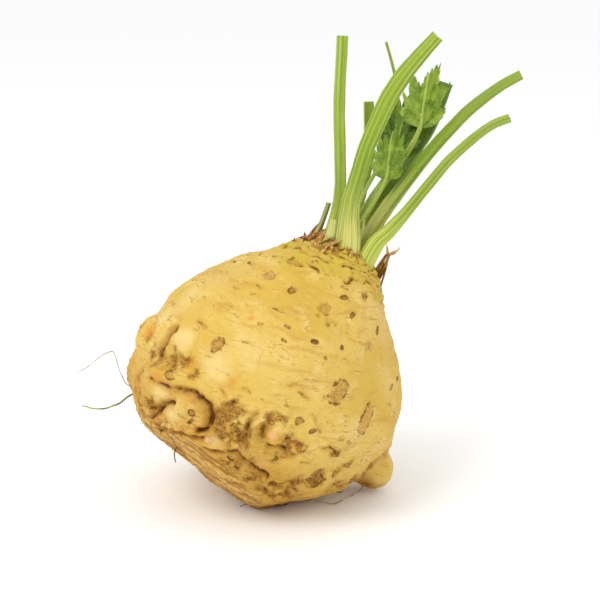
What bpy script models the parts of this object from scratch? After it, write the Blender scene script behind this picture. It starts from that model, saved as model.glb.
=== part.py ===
"""Celeriac root with its cut leaf stalks, resting on its lower side, leaning to the right.

Metres, +Z up. The root is one lumpy ball described by its radius in every direction from
its middle. Stalks, leaves, dry scraps and rootlets are closed rings swept along a bent
middle line; each one ends a hair above the skin it grows from.
"""

from math import cos, radians, sin

import bmesh
import bpy
import numpy as np

MM = 0.001  # every size below is in millimetres
GAP = 0.3  # air between a piece and the skin it grows from
CENTRE = np.array([-14.9, 0.0, 55.4])  # middle of the root, above the ground
LEAN_RIGHT, LEAN_BACK = 31.0, 6.0  # degrees the crown leans away from straight up
GRID = 22  # squares along one side of each sixth of the root
AROUND = 12  # corners in the outline of a stalk
SMOOTH_ANGLE = 50.0

# How far the skin lies from the middle, every 15 degrees from the crown to the tip.
SKIN_LEFT = (73.5, 67.5, 59.0, 56.5, 56.6, 57.0, 57.6, 59.5, 61.5, 60.0, 54.5, 52.5, 53.0)
SKIN_RIGHT = (73.5, 68.5, 62.0, 59.6, 60.0, 61.7, 63.2, 60.5, 58.5, 57.5, 57.5, 54.0, 53.0)

# Knobs: around, down (degrees), how far out the ball's middle sits, ball size, blend.
KNOBS = (
    (-59, 91, 44.5, 16.6, 1.2),
    (-53, 112, 45.5, 18.0, 1.0),
    (-31, 113, 42.5, 21.6, 1.0),
    (-88, 101, 47.5, 15.0, 1.5),
    (-97, 118, 47.0, 17.0, 2.0),
    (7, 99, 48.5, 13.4, 0.8),
    (42, 113, 47.0, 15.5, 1.6),
    (24, 106, 45.0, 16.8, 1.6),
    (118, 95, 44.0, 19.0, 2.5),
    (160, 104, 42.0, 22.0, 2.5),
    (-140, 100, 40.0, 23.5, 2.5),
    (-165, 122, 42.0, 21.0, 2.0),
    (128, 128, 45.0, 17.0, 2.0),
)
# Stubby feet of cut roots: place of the ball's middle, ball size, blend.
FEET = (
    ((-17.2, -16.6, 6.2), 7.2, 2.4),
    ((24.0, 4.5, 22.0), 17.0, 3.0),
    ((33.4, 4.6, 11.0), 9.8, 4.0),
    ((-29.0, 22.0, 7.5), 8.0, 3.0),
)
# Folds in the skin: depth, width, then (around, down) along each one.
FOLDS = (
    (2.4, 2.2, (-61, 84), (-60, 92), (-58, 99)),
    (3.0, 3.2, (-82, 113), (-62, 106), (-50, 99), (-40, 93)),
    (4.2, 2.4, (-43, 107), (-36, 104), (-30, 103), (-24, 104), (-20, 107), (-17, 113)),
    (3.4, 2.2, (-53, 123), (-46, 116), (-41, 109)),
    (3.8, 2.2, (-46, 127), (-30, 123), (-20, 119), (-15, 115), (-9, 109)),
    (3.0, 2.6, (4, 93), (3, 97), (4, 103), (9, 107)),
    (2.2, 2.4, (9, 107), (16, 101), (24, 102)),
    (3.2, 2.6, (60, 104), (55, 97), (57, 90), (66, 88), (80, 88)),
    (2.4, 3.0, (100, 112), (118, 116), (135, 112), (150, 116)),
    (2.6, 3.0, (-110, 108), (-126, 112), (-145, 115), (-160, 110)),
)
FACET_POINT = (-30.3, -40.0, 17.6)  # the tip's left side was sliced off flat here
FACET_NORMAL = (-0.60, -0.40, -0.69)


def unit(v):
    """The same direction with length one."""
    v = np.asarray(v, float)
    return v / np.linalg.norm(v, axis=-1, keepdims=True)


AXIS = unit([sin(radians(LEAN_RIGHT)) * cos(radians(LEAN_BACK)), sin(radians(LEAN_BACK)),
             cos(radians(LEAN_RIGHT)) * cos(radians(LEAN_BACK))])
SIDE = unit(np.cross([0, 1, 0], AXIS))
FRONT = -unit(np.cross(AXIS, SIDE))


def heading(around, down):
    """Direction from the middle: around from the front to the right, down from the crown."""
    a, t = radians(around), radians(down)
    return sin(t) * sin(a) * SIDE + sin(t) * cos(a) * FRONT + cos(t) * AXIS


def on_crown(side, front, height):
    """A place near the crown, height measured along the axis from the root's middle."""
    return CENTRE + side * SIDE + front * FRONT + height * AXIS


def through(values, where):
    """Smooth curve through evenly spaced values, read at positions counted in steps."""
    k = np.asarray(values, float)
    i = np.clip(where.astype(int), 0, len(k) - 2)
    f = (where - i).reshape(where.shape + (1,) * (k.ndim - 1))
    p = [k[np.clip(i + s, 0, len(k) - 1)] for s in (-1, 0, 1, 2)]
    bend = 2 * p[0] - 5 * p[1] + 4 * p[2] - p[3] + f * (3 * (p[1] - p[2]) + p[3] - p[0])
    return p[1] + 0.5 * f * (p[2] - p[0] + f * bend)


def outer(a, b, blend):
    """The larger of two distances, rounded where they meet."""
    h = np.clip(0.5 + 0.5 * (a - b) / blend, 0, 1)
    return b * (1 - h) + a * h + blend * h * (1 - h)


def ball(d, middle, size):
    """How far along each direction a ball's far side lies; zero where it is missed."""
    along = d @ middle
    under = size**2 - middle @ middle + along**2
    return np.where((under > 0) & (along > 0), along + np.sqrt(np.maximum(under, 0)), 0)


def from_line(d, corners):
    """Distance in millimetres, on a ball of 60, from a bent line of headings."""
    best = np.full(len(d), 1e9)
    p = 60 * d
    ends = [60 * heading(*c) for c in corners]
    for a, b in zip(ends[:-1], ends[1:]):
        t = np.clip((p - a) @ (b - a) / ((b - a) @ (b - a)), 0, 1)
        best = np.minimum(best, np.linalg.norm(p - a - t[:, None] * (b - a), axis=1))
    return best


def skin_distance(d):
    """Distance from the middle to the skin along each unit direction."""
    down = np.degrees(np.arccos(np.clip(d @ AXIS, -1, 1))) / 15
    side, front = d @ SIDE, d @ FRONT
    right = side / np.maximum(np.hypot(side, front), 1e-6)
    lef, rig = through(SKIN_LEFT, down), through(SKIN_RIGHT, down)
    r = 0.5 * (lef + rig) + 0.5 * (rig - lef) * right
    waves = ((9, 4, 2, 0.3), (-5, 8, 3, 1.7), (3, -6, 9, 4.1), (-8, -5, 6, 2.6))
    r = r + 0.35 * sum(np.sin(d @ np.array(w[:3]) + w[3]) for w in waves)
    for around, dn, out, size, blend in KNOBS:
        r = outer(r, ball(d, out * heading(around, dn), size), blend)
    for place, size, blend in FEET:
        r = outer(r, ball(d, np.array(place) - CENTRE, size), blend)
    n = unit(FACET_NORMAL)
    facing = np.maximum(d @ n, 1e-3)
    r = -outer(-r, -((np.array(FACET_POINT) - CENTRE) @ n) / facing, 1.5)
    for depth, width, *corners in FOLDS:
        r = r - depth * np.exp(-((from_line(d, corners) / width) ** 2))
    return r


def ball_grid(n):
    """Directions and squares of a ball made of six evenly divided square sheets."""
    t = np.tan(np.linspace(-np.pi / 4, np.pi / 4, n + 1))
    u, v = np.meshgrid(t, t, indexing="ij")
    sheets, squares = [], []
    for x, y in ((0, 1), (1, 2), (2, 0)):
        for sign in (1, -1):
            p = np.zeros(u.shape + (3,))
            p[..., x], p[..., y], p[..., 3 - x - y] = (u, v, sign) if sign > 0 else (v, u, sign)
            i = np.arange((n + 1) ** 2).reshape(n + 1, n + 1) + len(sheets) * (n + 1) ** 2
            sheets.append(p.reshape(-1, 3))
            squares.append(np.stack([i[:-1, :-1], i[1:, :-1], i[1:, 1:], i[:-1, 1:]], -1))
    p = unit(np.concatenate(sheets))
    _, first, back = np.unique(np.round(p, 6), axis=0, return_index=True, return_inverse=True)
    return p[first], back.reshape(-1)[np.concatenate(squares).reshape(-1, 4)]


def srgb(r, g, b):
    """Linear colour from the usual 0 to 255 screen values."""
    return tuple((c / 255) ** 2.2 for c in (r, g, b)) + (1.0,)


def material(name, colour, roughness):
    """A plain surface for one piece."""
    m = bpy.data.materials.new(name)
    m.use_nodes = True
    shader = m.node_tree.nodes["Principled BSDF"]
    shader.inputs["Base Color"].default_value = srgb(*colour)
    shader.inputs["Roughness"].default_value = roughness
    shader.inputs["Metallic"].default_value = 0.0
    return m


def piece(name, points, faces, look):
    """An object from points in millimetres."""
    mesh = bpy.data.meshes.new(name)
    mesh.from_pydata((np.asarray(points) * MM).tolist(), [], [list(map(int, f)) for f in faces])
    mesh.materials.append(look)
    obj = bpy.data.objects.new(name, mesh)
    bpy.context.scene.collection.objects.link(obj)
    return obj


def finish(obj):
    """Outward faces in triangles, round parts shaded smooth."""
    bm = bmesh.new()
    bm.from_mesh(obj.data)
    bmesh.ops.remove_doubles(bm, verts=bm.verts, dist=1e-6)
    bmesh.ops.triangulate(bm, faces=bm.faces)
    bmesh.ops.dissolve_degenerate(bm, edges=bm.edges, dist=1e-6)
    bmesh.ops.triangulate(bm, faces=bm.faces)
    bmesh.ops.recalc_face_normals(bm, faces=bm.faces)
    bm.to_mesh(obj.data)
    bm.free()
    obj.data.polygons.foreach_set("use_smooth", [True] * len(obj.data.polygons))
    obj.data.set_sharp_from_angle(angle=radians(SMOOTH_ANGLE))


def make_root(name, grown, look):
    """The root, or a copy of it grown by some millimetres, cut level with the ground."""
    d, squares = ball_grid(GRID)
    obj = piece(name, CENTRE + d * (skin_distance(d) + grown)[:, None], squares, look)
    bm = bmesh.new()
    bm.from_mesh(obj.data)
    bmesh.ops.triangulate(bm, faces=bm.faces)
    if not grown:
        bmesh.ops.bisect_plane(
            bm, geom=bm.verts[:] + bm.edges[:] + bm.faces[:], dist=1e-6,
            plane_co=(0, 0, 0), plane_no=(0, 0, -1), clear_outer=True)
        rim = [e for e in bm.edges if e.is_boundary]
        bmesh.ops.holes_fill(bm, edges=rim, sides=0)
    bmesh.ops.recalc_face_normals(bm, faces=bm.faces)
    bm.to_mesh(obj.data)
    bm.free()
    return obj


def path_rings(path, stations, outward, outline):
    """Rings around a smooth line through the path; outline gives across and outward per ring."""
    t = np.linspace(0, 1, stations)
    line = through(path, t * (len(path) - 1))
    ahead = unit(np.gradient(line, axis=0))
    out = np.asarray(outward, float)[None] - (ahead @ np.asarray(outward, float))[:, None] * ahead
    out = unit(out)
    across = np.cross(ahead, out)
    a, o = outline(t)
    return line[:, None] + a[..., None] * across[:, None] + o[..., None] * out[:, None]


def loft(name, rings, look):
    """A closed skin over a row of rings with flat ends."""
    n, m = rings.shape[:2]
    i = np.arange(n * m).reshape(n, m)
    j = np.roll(i, -1, axis=1)
    sides = np.stack([i[:-1], j[:-1], j[1:], i[1:]], -1).reshape(-1, 4).tolist()
    return piece(name, rings.reshape(-1, 3), sides + [i[0][::-1].tolist(), i[-1].tolist()], look)


def stalk_outline(widths, depths, ribs):
    """A ribbed back and a hollow front, as in a celery stalk."""
    def outline(t):
        turn = np.arange(AROUND) * 2 * np.pi / AROUND
        w = through(widths, t * (len(widths) - 1))[:, None] / 2
        h = through(depths, t * (len(depths) - 1))[:, None] / 2
        c, s = np.cos(turn)[None], np.sin(turn)[None]
        rib = 1 + ribs * np.where(np.arange(AROUND) % 2 == 0, 1, -1)[None]
        hollow = np.where(c < 0, 1 + 1.05 * c, 1.0)
        return w * s * rib, h * c * hollow * rib
    return outline


def leaf_outline(widths, depths, teeth, fold):
    """A thin blade, folded along its midrib, its edge going in and out in teeth."""
    def outline(t):
        turn = np.arange(10) * 2 * np.pi / 10
        w = through(widths, t * (len(widths) - 1))[:, None] / 2
        h = through(depths, t * (len(depths) - 1))[:, None] / 2
        step = 1 + teeth * np.where(np.arange(len(t)) % 2 == 0, 1, -1)[:, None]
        step = np.where(w > 2.0, step, 1.0)
        c, s = np.cos(turn)[None], np.sin(turn)[None]
        return w * s * step, h * c + fold * np.abs(w * s * step)
    return outline


def round_outline(widths, sides=6):
    """A round twig."""
    def outline(t):
        turn = np.arange(sides) * 2 * np.pi / sides
        w = through(widths, t * (len(widths) - 1))[:, None] / 2
        return w * np.sin(turn)[None], w * np.cos(turn)[None]
    return outline


def trim(obj, cutter):
    """Cut away what would reach into the skin and keep the piece outside it."""
    mod = obj.modifiers.new("trim", "BOOLEAN")
    mod.operation, mod.object, mod.solver = "DIFFERENCE", cutter, "EXACT"
    bpy.context.view_layer.update()
    done = obj.evaluated_get(bpy.context.evaluated_depsgraph_get())
    mesh = bpy.data.meshes.new_from_object(done)
    obj.modifiers.remove(mod)
    obj.data = mesh


for old in list(bpy.data.objects):
    bpy.data.objects.remove(old)

root_skin = material("root_skin", (226, 188, 100), 0.62)
root = make_root("celeriac_root", 0.0, root_skin)
cutter = make_root("skin_cutter", GAP, root_skin)
cutter.hide_render = True
cutter.display_type = "WIRE"

green = {
    "stalk_left": (140, 162, 62), "stalk_front": (134, 158, 44), "stalk_right": (146, 170, 62),
    "stalk_low_right": (134, 156, 66), "stub_back_right": (96, 118, 44),
    "stub_back_left": (124, 142, 52), "thin_stalk": (132, 156, 60),
    "sheath_front_left": (206, 208, 130), "stump_left": (150, 152, 92), "pale_spike": (206, 212, 140),
}
# Stalks: way the back faces, middle line from inside the crown to the cut end,
# widths and depths along it.
STALKS = {
    "stalk_left": ((-0.9, -0.4, 0.1), [on_crown(-8, -2, 64), on_crown(-8, -2, 70), (15.4, 9.6, 123.5),
                   (17.2, 9.6, 131), (18.6, 9, 140.5), (18.6, 9, 154), (18.2, 9.5, 168), (18.1, 10, 181),
                   (18.7, 12, 194), (19.4, 14, 208.6)], (6.8, 6.4, 6.2, 6.2, 6.2, 6.2),
                   (6.4, 6.2, 6.2, 6.0)),
    "stalk_front": ((-0.1, -1, 0.1), [on_crown(-0.5, 8, 64), on_crown(-0.5, 8, 70), (21.6, -2.4, 125),
                    (21.8, -4, 131.5), (22.9, -7, 140.6), (25.8, -10, 152), (28.8, -13, 163.2),
                    (32.6, -15, 173), (38.0, -17, 185.3), (43.8, -18.5, 194.7), (49.5, -20, 202.1),
                    (57.8, -22, 211.8)], (10.0, 9.0, 8.0, 7.0, 7.0, 7.6, 6.8, 5.4),
                    (6.8, 6.6, 6.4, 6.2, 5.6)),
    "stalk_right": ((0.85, 0.1, -0.5), [on_crown(5.5, -4, 62), on_crown(5.5, -4, 69), (31.0, 10.4, 122),
                    (37.2, 10, 132), (41.5, 9.5, 138), (47.4, 9, 146), (53.8, 9, 154.4),
                    (60.7, 9, 162.8), (67.2, 9, 169.9), (73.3, 9, 176.3), (80.7, 8.5, 182.5),
                    (88.4, 7.5, 188.2),
                    (96.8, 6.5, 193.0)], (7.6, 7.6, 7.4, 7.2, 7.0, 6.4, 5.4),
                    (9.6, 9.0, 8.0, 7.4, 6.6, 5.6)),
    "stalk_low_right": ((0.7, -0.5, -0.5), [on_crown(11, 5.5, 58), on_crown(10.5, 5.5, 65),
                        (34.2, 2.0, 117.2),
                        (39.2, 2.0, 124.2), (44.5, 1.6, 130.0), (49.2, 1, 135.8), (54.4, 0, 142.6),
                        (59.1, -1, 148.8), (64.5, -2.5, 155.8), (70.7, -4, 162.2), (77.0, -6, 168.1),
                        (83.9, -7, 173.0), (90.8, -8, 175.8)], (8.8, 7.4, 6.2, 5.8, 5.8, 5.4, 5.0),
                        (8.8, 7.2, 6.2, 5.8, 5.4, 4.8)),
    "stub_back_right": ((0.5, 0.85, -0.2), [on_crown(4, -14, 58), on_crown(4, -14, 66), (32.5, 21.5, 123),
                        (38.7, 23, 134), (45, 26, 145.7), (52.5, 29, 155.8), (59.6, 32, 167),
                        (66.6, 35, 185.6)],
                        (6.6, 6.6, 6.6, 6.6), (5.6, 5.4, 5.4, 5.6)),
    "stub_back_left": ((-0.2, 1, 0), [on_crown(-5, -15, 58), on_crown(-5, -15, 66), (24.6, 25.4, 126),
                       (28.6, 28, 139), (31.6, 30.5, 153.7), (31.8, 32, 165), (31.4, 33, 177.2)],
                       (5.6, 5.6, 5.4, 4.6), (5.0, 4.8, 4.6)),
    "thin_stalk": ((0, 1, 0), [on_crown(-2, -8.5, 62), on_crown(-1, -8.5, 70), (33.5, 20.4, 134),
                   (40.6, 25, 149), (44.4, 27.5, 166), (44.4, 28, 179), (42.6, 28.5, 191),
                   (38.8, 29, 204.6)], (2.6, 2.2, 2.2, 1.6, 1.2), (2.4, 2.0, 1.8, 1.2)),
    "sheath_front_left": ((-0.6, -0.8, 0.1), [on_crown(-9.5, 5.5, 62), on_crown(-9.5, 5.5, 69),
                          (13.6, 0.6, 121.5), (14.6, 0.6, 125), (15.4, 0.8, 128.8)], (5.0, 4.4, 3.4),
                          (3.4, 3.0, 2.2)),
    "stump_left": ((-0.9, 0.3, 0.1), [on_crown(-14, -6.5, 62), on_crown(-13.5, -6.5, 69),
                   (10.8, 14.0, 126), (13.4, 14.4, 133.6)], (4.6, 4.2, 3.6), (3.8, 3.4, 3.0)),
    "pale_spike": ((0.4, -1, 0), [on_crown(5.2, 3.2, 66), on_crown(5.0, 3.2, 71), (27.6, 3.2, 121.6),
                   (28.3, 2.6, 125), (28.6, 2.2, 128.6)], (2.2, 2.0, 1.0), (1.8, 1.4, 0.8)),
}
for name, (back, path, widths, depths) in STALKS.items():
    stations = 8 if len(path) < 6 else 15
    rings = path_rings(path, stations, back, stalk_outline(widths, depths, 0.035))
    trim(loft(name, rings, material(name, green[name], 0.42)), cutter)

# Young leaves: the way the upper side faces, middle line, widths, depths, teeth, fold.
LEAVES = {
    "young_leaf_tall": ((-0.3, -1, 0.2), [on_crown(0.2, -3.6, 66), on_crown(0.4, -3.6, 72),
                        (27.6, 14.0, 126),
                        (33.4, 16, 136), (40.0, 16.6, 145.8), (49.0, 17.0, 157.5), (54.0, 17.2, 167.7),
                        (54.2, 17.4, 176), (54.6, 17.6, 184), (57.4, 18.5, 197)],
                        (5.2, 5.0, 4.6, 3.2, 2.2, 2.2, 12.5, 16.0, 14.0, 1.2),
                        (3.6, 3.2, 2.0, 1.6, 0.9, 0.8, 0.7, 0.5),
                        0.22, 0.30, (140, 164, 62)),
    "young_leaf_middle": ((-0.5, -0.9, 0.1), [on_crown(-4.6, 0.5, 66), on_crown(-4.2, 0.6, 72),
                          (23.4, 8.5, 128),
                          (29.0, 12.5, 139), (36.4, 20.6, 150), (42.4, 23.4, 160), (43.8, 24.4, 168.5),
                          (44.2, 25, 178)], (2.2, 2.0, 1.8, 1.8, 2.6, 9.0, 10.5, 0.9),
                          (1.8, 1.6, 1.4, 1.0, 0.8, 0.7, 0.5), 0.22, 0.35, (122, 146, 42)),
    "young_leaf_low": ((-0.35, -1, 0.1), [on_crown(0.6, 1.2, 66), on_crown(0.8, 1.2, 72), (28.2, 5.4, 128),
                       (34.4, 5.6, 138), (38.0, 6.2, 146), (39.4, 7, 154), (38.4, 8, 160), (37.4, 9, 167)],
                       (1.9, 1.8, 1.7, 1.8, 7.0, 10.5, 7.0, 0.9), (1.6, 1.5, 1.2, 0.8, 0.7, 0.6, 0.5),
                       0.20, 0.35, (150, 172, 66)),
}
for name, (upper, path, widths, depths, teeth, fold, colour) in LEAVES.items():
    stations = 21 if len(path) > 8 else 17
    rings = path_rings(path, stations, upper, leaf_outline(widths, depths, teeth, -fold))
    trim(loft(name, rings, material(name, colour, 0.45)), cutter)

# Dry scraps of old stalks round the crown: back, middle line, widths, depths, colour.
DRY = {
    "dry_stump_right": ((1, -0.2, 0), [on_crown(14.5, 1, 56), on_crown(14.5, 1, 62), (35.2, 5.6, 108.5),
                        (36.2, 5.4, 112.2), (41.2, 5.0, 115.2)], (4.4, 3.4, 2.6, 1.2),
                        (2.8, 2.2, 1.4, 0.8), (150, 106, 46)),
    "dry_scrap_a": ((-0.7, -0.6, 0.4), [on_crown(-15.5, 4.5, 60), on_crown(-15.2, 4.2, 66),
                    (6.6, 2.0, 125)],
                    (3.6, 3.0, 0.8), (1.4, 1.2, 0.6), (166, 122, 62)),
    "dry_scrap_b": ((-0.7, -0.3, 0.4), [on_crown(-19, 1.5, 58), on_crown(-19, 1.5, 63), (2.4, 4.4, 122)],
                    (3.4, 2.6, 0.8), (1.4, 1.2, 0.6), (176, 136, 72)),
    "dry_scrap_c": ((-0.7, -0.6, 0.4), [on_crown(-17.5, -3.5, 58), on_crown(-17.3, -3.5, 64),
                    (8.2, 10.4, 126.8)],
                    (3.2, 2.6, 0.8), (1.4, 1.2, 0.6), (158, 114, 56)),
    "dry_scrap_d": ((-0.2, -1, 0.3), [on_crown(-4.8, 12.8, 60), on_crown(-5, 12.8, 67),
                    (13.8, -5.8, 119.8)],
                    (4.2, 3.4, 0.8), (1.4, 1.2, 0.6), (188, 152, 84)),
    "dry_scrap_e": ((-0.6, 0.7, 0.4), [on_crown(-14, -13, 56), on_crown(-14, -13, 62), (8.6, 22.4, 123.4)],
                    (3.6, 3.0, 0.8), (1.4, 1.2, 0.6), (170, 128, 66)),
    "dry_tip_high": ((-0.3, -1, 0), [on_crown(-22.5, 5.5, 54), on_crown(-22.6, 5.5, 60),
                     (-3.3, 0.4, 121.4)],
                     (1.8, 1.4, 0.6), (1.2, 1.0, 0.5), (186, 148, 84)),
    "dry_tip_low": ((-0.3, -1, 0), [on_crown(-34.5, 6, 45), on_crown(-34.6, 6, 50), (-17.4, -3.4, 119.4)],
                    (1.8, 1.4, 0.6), (1.2, 1.0, 0.5), (186, 148, 84)),
}
for name, (back, path, widths, depths, colour) in DRY.items():
    rings = path_rings(path, 7, back, stalk_outline(widths, depths, 0.05))
    trim(loft(name, rings, material(name, colour, 0.85)), cutter)

# Thin rootlets: middle line from inside the skin to the free end, width at both ends.
ROOTLETS = {
    "rootlet_left_upper": ([(-70, -7, 52.4), (-77.6, -8, 54.4), (-80.4, -8, 59.2), (-82.4, -8, 66),
                            (-84.2, -8, 70.2),
                            (-89.8, -8, 67.6), (-95.3, -8, 62.8), (-100.4, -8, 60.4)], (0.6, 0.5, 0.45),
                            (196, 180, 140)),
    "rootlet_left_lower": ([(-68, -5.6, 52.0), (-77, -6, 49.0), (-81.6, -6, 45.4), (-87.5, -6, 43.0),
                            (-93, -6, 42.5), (-98.6, -6, 44.0)], (0.9, 0.8, 0.6), (150, 146, 96)),
    "rootlet_under": ([(30.4, 4.5, 6.0), (28.6, 1.6, 1.4), (25.6, -2.6, 0.6), (20.6, -9.4, 0.6),
                       (15.8, -15.6, 0.6), (11.4, -14.6, 0.6), (6.8, -12.4, 0.6), (0.4, -12.2, 0.9),
                       (-4.6, -12.0, 2.6)], (0.6, 0.55, 0.5), (206, 190, 150)),
    "rootlet_tip_left": ([(-18.6, -15.0, 5.6), (-21.6, -20.4, 3.2), (-24.2, -21.0, 2.2),
                         (-27.0, -19.6, 0.8)],
                         (0.8, 0.6, 0.5), (150, 104, 48)),
    "rootlet_tip_right": ([(-15.0, -16.0, 3.0), (-10.4, -21.0, 1.6), (-5.8, -21.6, 2.4)], (1.3, 1.1, 0.7),
        (120, 82, 40)),
    "rootlet_stub_low": ([(20.0, -9.4, 14), (19.0, -16.0, 7.4), (16.6, -19.6, 7.8)], (1.6, 1.4, 0.9),
        (132, 88, 42)),
    "rootlet_edge": ([(-52.0, -30, 36.0), (-55.2, -33.6, 31.4), (-54.6, -34.6, 27.0)], (0.8, 0.7, 0.5),
        (150, 104, 52)),
}
for name, (path, widths, colour) in ROOTLETS.items():
    rings = path_rings(path, 4 * len(path) - 3 if len(path) > 4 else 7,
    (0.05, 0.1, 1), round_outline(widths))
    trim(loft(name, rings, material(name, colour, 0.7)), cutter)

bpy.data.objects.remove(cutter)
for obj in list(bpy.data.objects):
    finish(obj)
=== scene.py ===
# %% [markdown]
# # A celeriac root, built as numpy surfaces
# The thing to make is a celeriac lying on its lower side: a lumpy golden ball of root with
# brown scars and folds, a tuft of cut green stalks with a few young leaves, dry brown scraps
# where old leaves rotted away, and a handful of hair-thin rootlets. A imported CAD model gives
# the sizes. Every visible piece here is a finer surface that takes the place of a CAD solid.

from math import cos, radians, sin

import bmesh
import bpy
import numpy as np
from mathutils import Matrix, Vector


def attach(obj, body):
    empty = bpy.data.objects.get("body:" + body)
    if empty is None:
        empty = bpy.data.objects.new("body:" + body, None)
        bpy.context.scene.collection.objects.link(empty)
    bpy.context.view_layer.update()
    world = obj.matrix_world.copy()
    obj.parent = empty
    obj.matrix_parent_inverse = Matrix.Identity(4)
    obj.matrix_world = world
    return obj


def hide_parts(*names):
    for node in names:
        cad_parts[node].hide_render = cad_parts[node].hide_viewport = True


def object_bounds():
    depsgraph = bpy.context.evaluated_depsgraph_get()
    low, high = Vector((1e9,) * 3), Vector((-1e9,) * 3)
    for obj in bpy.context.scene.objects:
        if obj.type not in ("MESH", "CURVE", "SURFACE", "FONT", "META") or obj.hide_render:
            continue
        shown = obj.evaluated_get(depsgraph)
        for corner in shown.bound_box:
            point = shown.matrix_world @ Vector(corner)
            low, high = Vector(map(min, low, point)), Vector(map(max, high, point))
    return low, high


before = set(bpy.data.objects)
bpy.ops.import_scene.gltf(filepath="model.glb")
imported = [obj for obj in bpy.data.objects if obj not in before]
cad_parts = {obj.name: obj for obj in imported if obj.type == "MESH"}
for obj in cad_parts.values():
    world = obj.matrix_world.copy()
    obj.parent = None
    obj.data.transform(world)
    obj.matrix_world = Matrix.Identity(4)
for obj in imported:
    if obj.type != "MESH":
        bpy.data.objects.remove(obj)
cad_box = [[float(c) for c in corner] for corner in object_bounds()]
MM = 0.001  # the shapes below are worked out in millimetres
print("CAD box in metres:", cad_box, "with", len(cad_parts), "nodes")

# %% [markdown]
# ## Camera, floor and light
# The camera comes first, so that every look is judged from the same place. A long lens keeps
# the shape honest. It could hang anywhere; a low place, a little above the root, shows the
# knobs and the stalks at once. The floor is a wide pale disc, and the light is a bright pale
# sky with one broad lamp high on the left and a weaker one on the right, because soft light
# shows the colour of the skin and still draws its lumps.

# %% Camera
LOOK_DOWN = radians(14)
AWAY = 0.75
top_of_all = cad_box[1][2]
aim = Vector((0, 0, 0.431 * top_of_all))
lens = bpy.data.cameras.new("long_lens")
lens.lens, lens.sensor_width, lens.clip_start, lens.clip_end = 100, 36, 0.01, 50
camera = bpy.data.objects.new("camera", lens)
camera.location = aim + AWAY * Vector((0, -cos(LOOK_DOWN), sin(LOOK_DOWN)))
camera.rotation_euler = (aim - camera.location).to_track_quat("-Z", "Y").to_euler()
bpy.context.scene.collection.objects.link(camera)
bpy.context.scene.camera = camera
bpy.context.scene.view_settings.view_transform = "Standard"
print("camera at", [round(c, 3) for c in camera.location])

# %% Floor
bm = bmesh.new()
bmesh.ops.create_circle(bm, cap_ends=True, segments=96, radius=7)
floor_mesh = bpy.data.meshes.new("floor")
bm.to_mesh(floor_mesh)
bm.free()
floor = bpy.data.objects.new("floor", floor_mesh)
floor.location = (0, 0, -0.0002)
bpy.context.scene.collection.objects.link(floor)
paper = bpy.data.materials.new("pale_paper")
paper.use_nodes = True
paper.node_tree.nodes["Principled BSDF"].inputs["Base Color"].default_value = (0.97, 0.97, 0.97, 1)
paper.node_tree.nodes["Principled BSDF"].inputs["Roughness"].default_value = 0.9
paper.node_tree.nodes["Principled BSDF"].inputs["Specular IOR Level"].default_value = 0.1
floor_mesh.materials.append(paper)


# %% Sky and lamps
def lamp(name, place, size, power):
    """A square soft lamp that faces the middle of the root."""
    light = bpy.data.lights.new(name, "AREA")
    light.size, light.energy = size, power
    obj = bpy.data.objects.new(name, light)
    obj.location = place
    obj.rotation_euler = (Vector((0, 0, 0.08)) - Vector(place)).to_track_quat("-Z", "Y").to_euler()
    bpy.context.scene.collection.objects.link(obj)


sky = bpy.data.worlds.new("pale_sky")
sky.use_nodes = True
sky.node_tree.nodes["Background"].inputs["Color"].default_value = (1, 1, 1, 1)
sky.node_tree.nodes["Background"].inputs["Strength"].default_value = 0.98
bpy.context.scene.world = sky
lamp("lamp_left", (-0.75, -0.75, 1.15), 0.8, 9)
lamp("lamp_right", (1.0, -0.6, 0.7), 0.8, 1.5)

# %% [markdown]
# ## The plant's own directions
# A celeriac has an axis, from its crown of leaves to its tip. Here it leans to the right and
# a little away. Places on the root are given as on a globe: how far around from the front,
# and how far down from the crown. That way a scar keeps its place if the lean changes.

# %% Directions on the root
LEAN_RIGHT, LEAN_BACK = radians(31.0), radians(6.0)
CENTRE = np.array([-14.9, 0.0, 55.4])


def unit(v):
    """The same direction with length one."""
    v = np.asarray(v, float)
    return v / np.linalg.norm(v, axis=-1, keepdims=True)


AXIS = unit([sin(LEAN_RIGHT) * cos(LEAN_BACK), sin(LEAN_BACK), cos(LEAN_RIGHT) * cos(LEAN_BACK)])
SIDE = unit(np.cross([0, 1, 0], AXIS))
FRONT = -unit(np.cross(AXIS, SIDE))


def heading(around, down):
    """Direction from the middle: turn around the axis from the front, tip down from the crown."""
    a, t = radians(around), radians(down)
    return sin(t) * sin(a) * SIDE + sin(t) * cos(a) * FRONT + cos(t) * AXIS


def on_crown(side, front, height):
    """A place near the crown: the centre plus so much along the side, the front and the axis."""
    return CENTRE + side * SIDE + front * FRONT + height * AXIS


print("the axis points to", AXIS.round(3))

# %% [markdown]
# ## Tools for lumpy surfaces
# Nature's roughness has no outline to draw, so it is worked out. Three small formulas do
# most of it: a smooth curve through a few values, a soft choice of the larger of two
# surfaces, which makes one knob grow out of another with a crease between them, and a
# random field that changes gently from place to place.


# %% Curves, creases and random fields
def through(values, where):
    """Smooth curve through evenly spaced values (Catmull-Rom), read at steps along it."""
    k = np.asarray(values, float)
    i = np.clip(np.floor(where).astype(int), 0, len(k) - 2)
    f = (where - i).reshape(where.shape + (1,) * (k.ndim - 1))
    p = [k[np.clip(i + s, 0, len(k) - 1)] for s in (-1, 0, 1, 2)]
    bend = 2 * p[0] - 5 * p[1] + 4 * p[2] - p[3] + f * (3 * (p[1] - p[2]) + p[3] - p[0])
    return p[1] + 0.5 * f * (p[2] - p[0] + f * bend)


def outer(a, b, blend):
    """The larger of two distances, rounded where they are within one blend of each other."""
    h = np.clip(0.5 + 0.5 * (a - b) / blend, 0, 1)
    return b * (1 - h) + a * h + blend * h * (1 - h)


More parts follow.
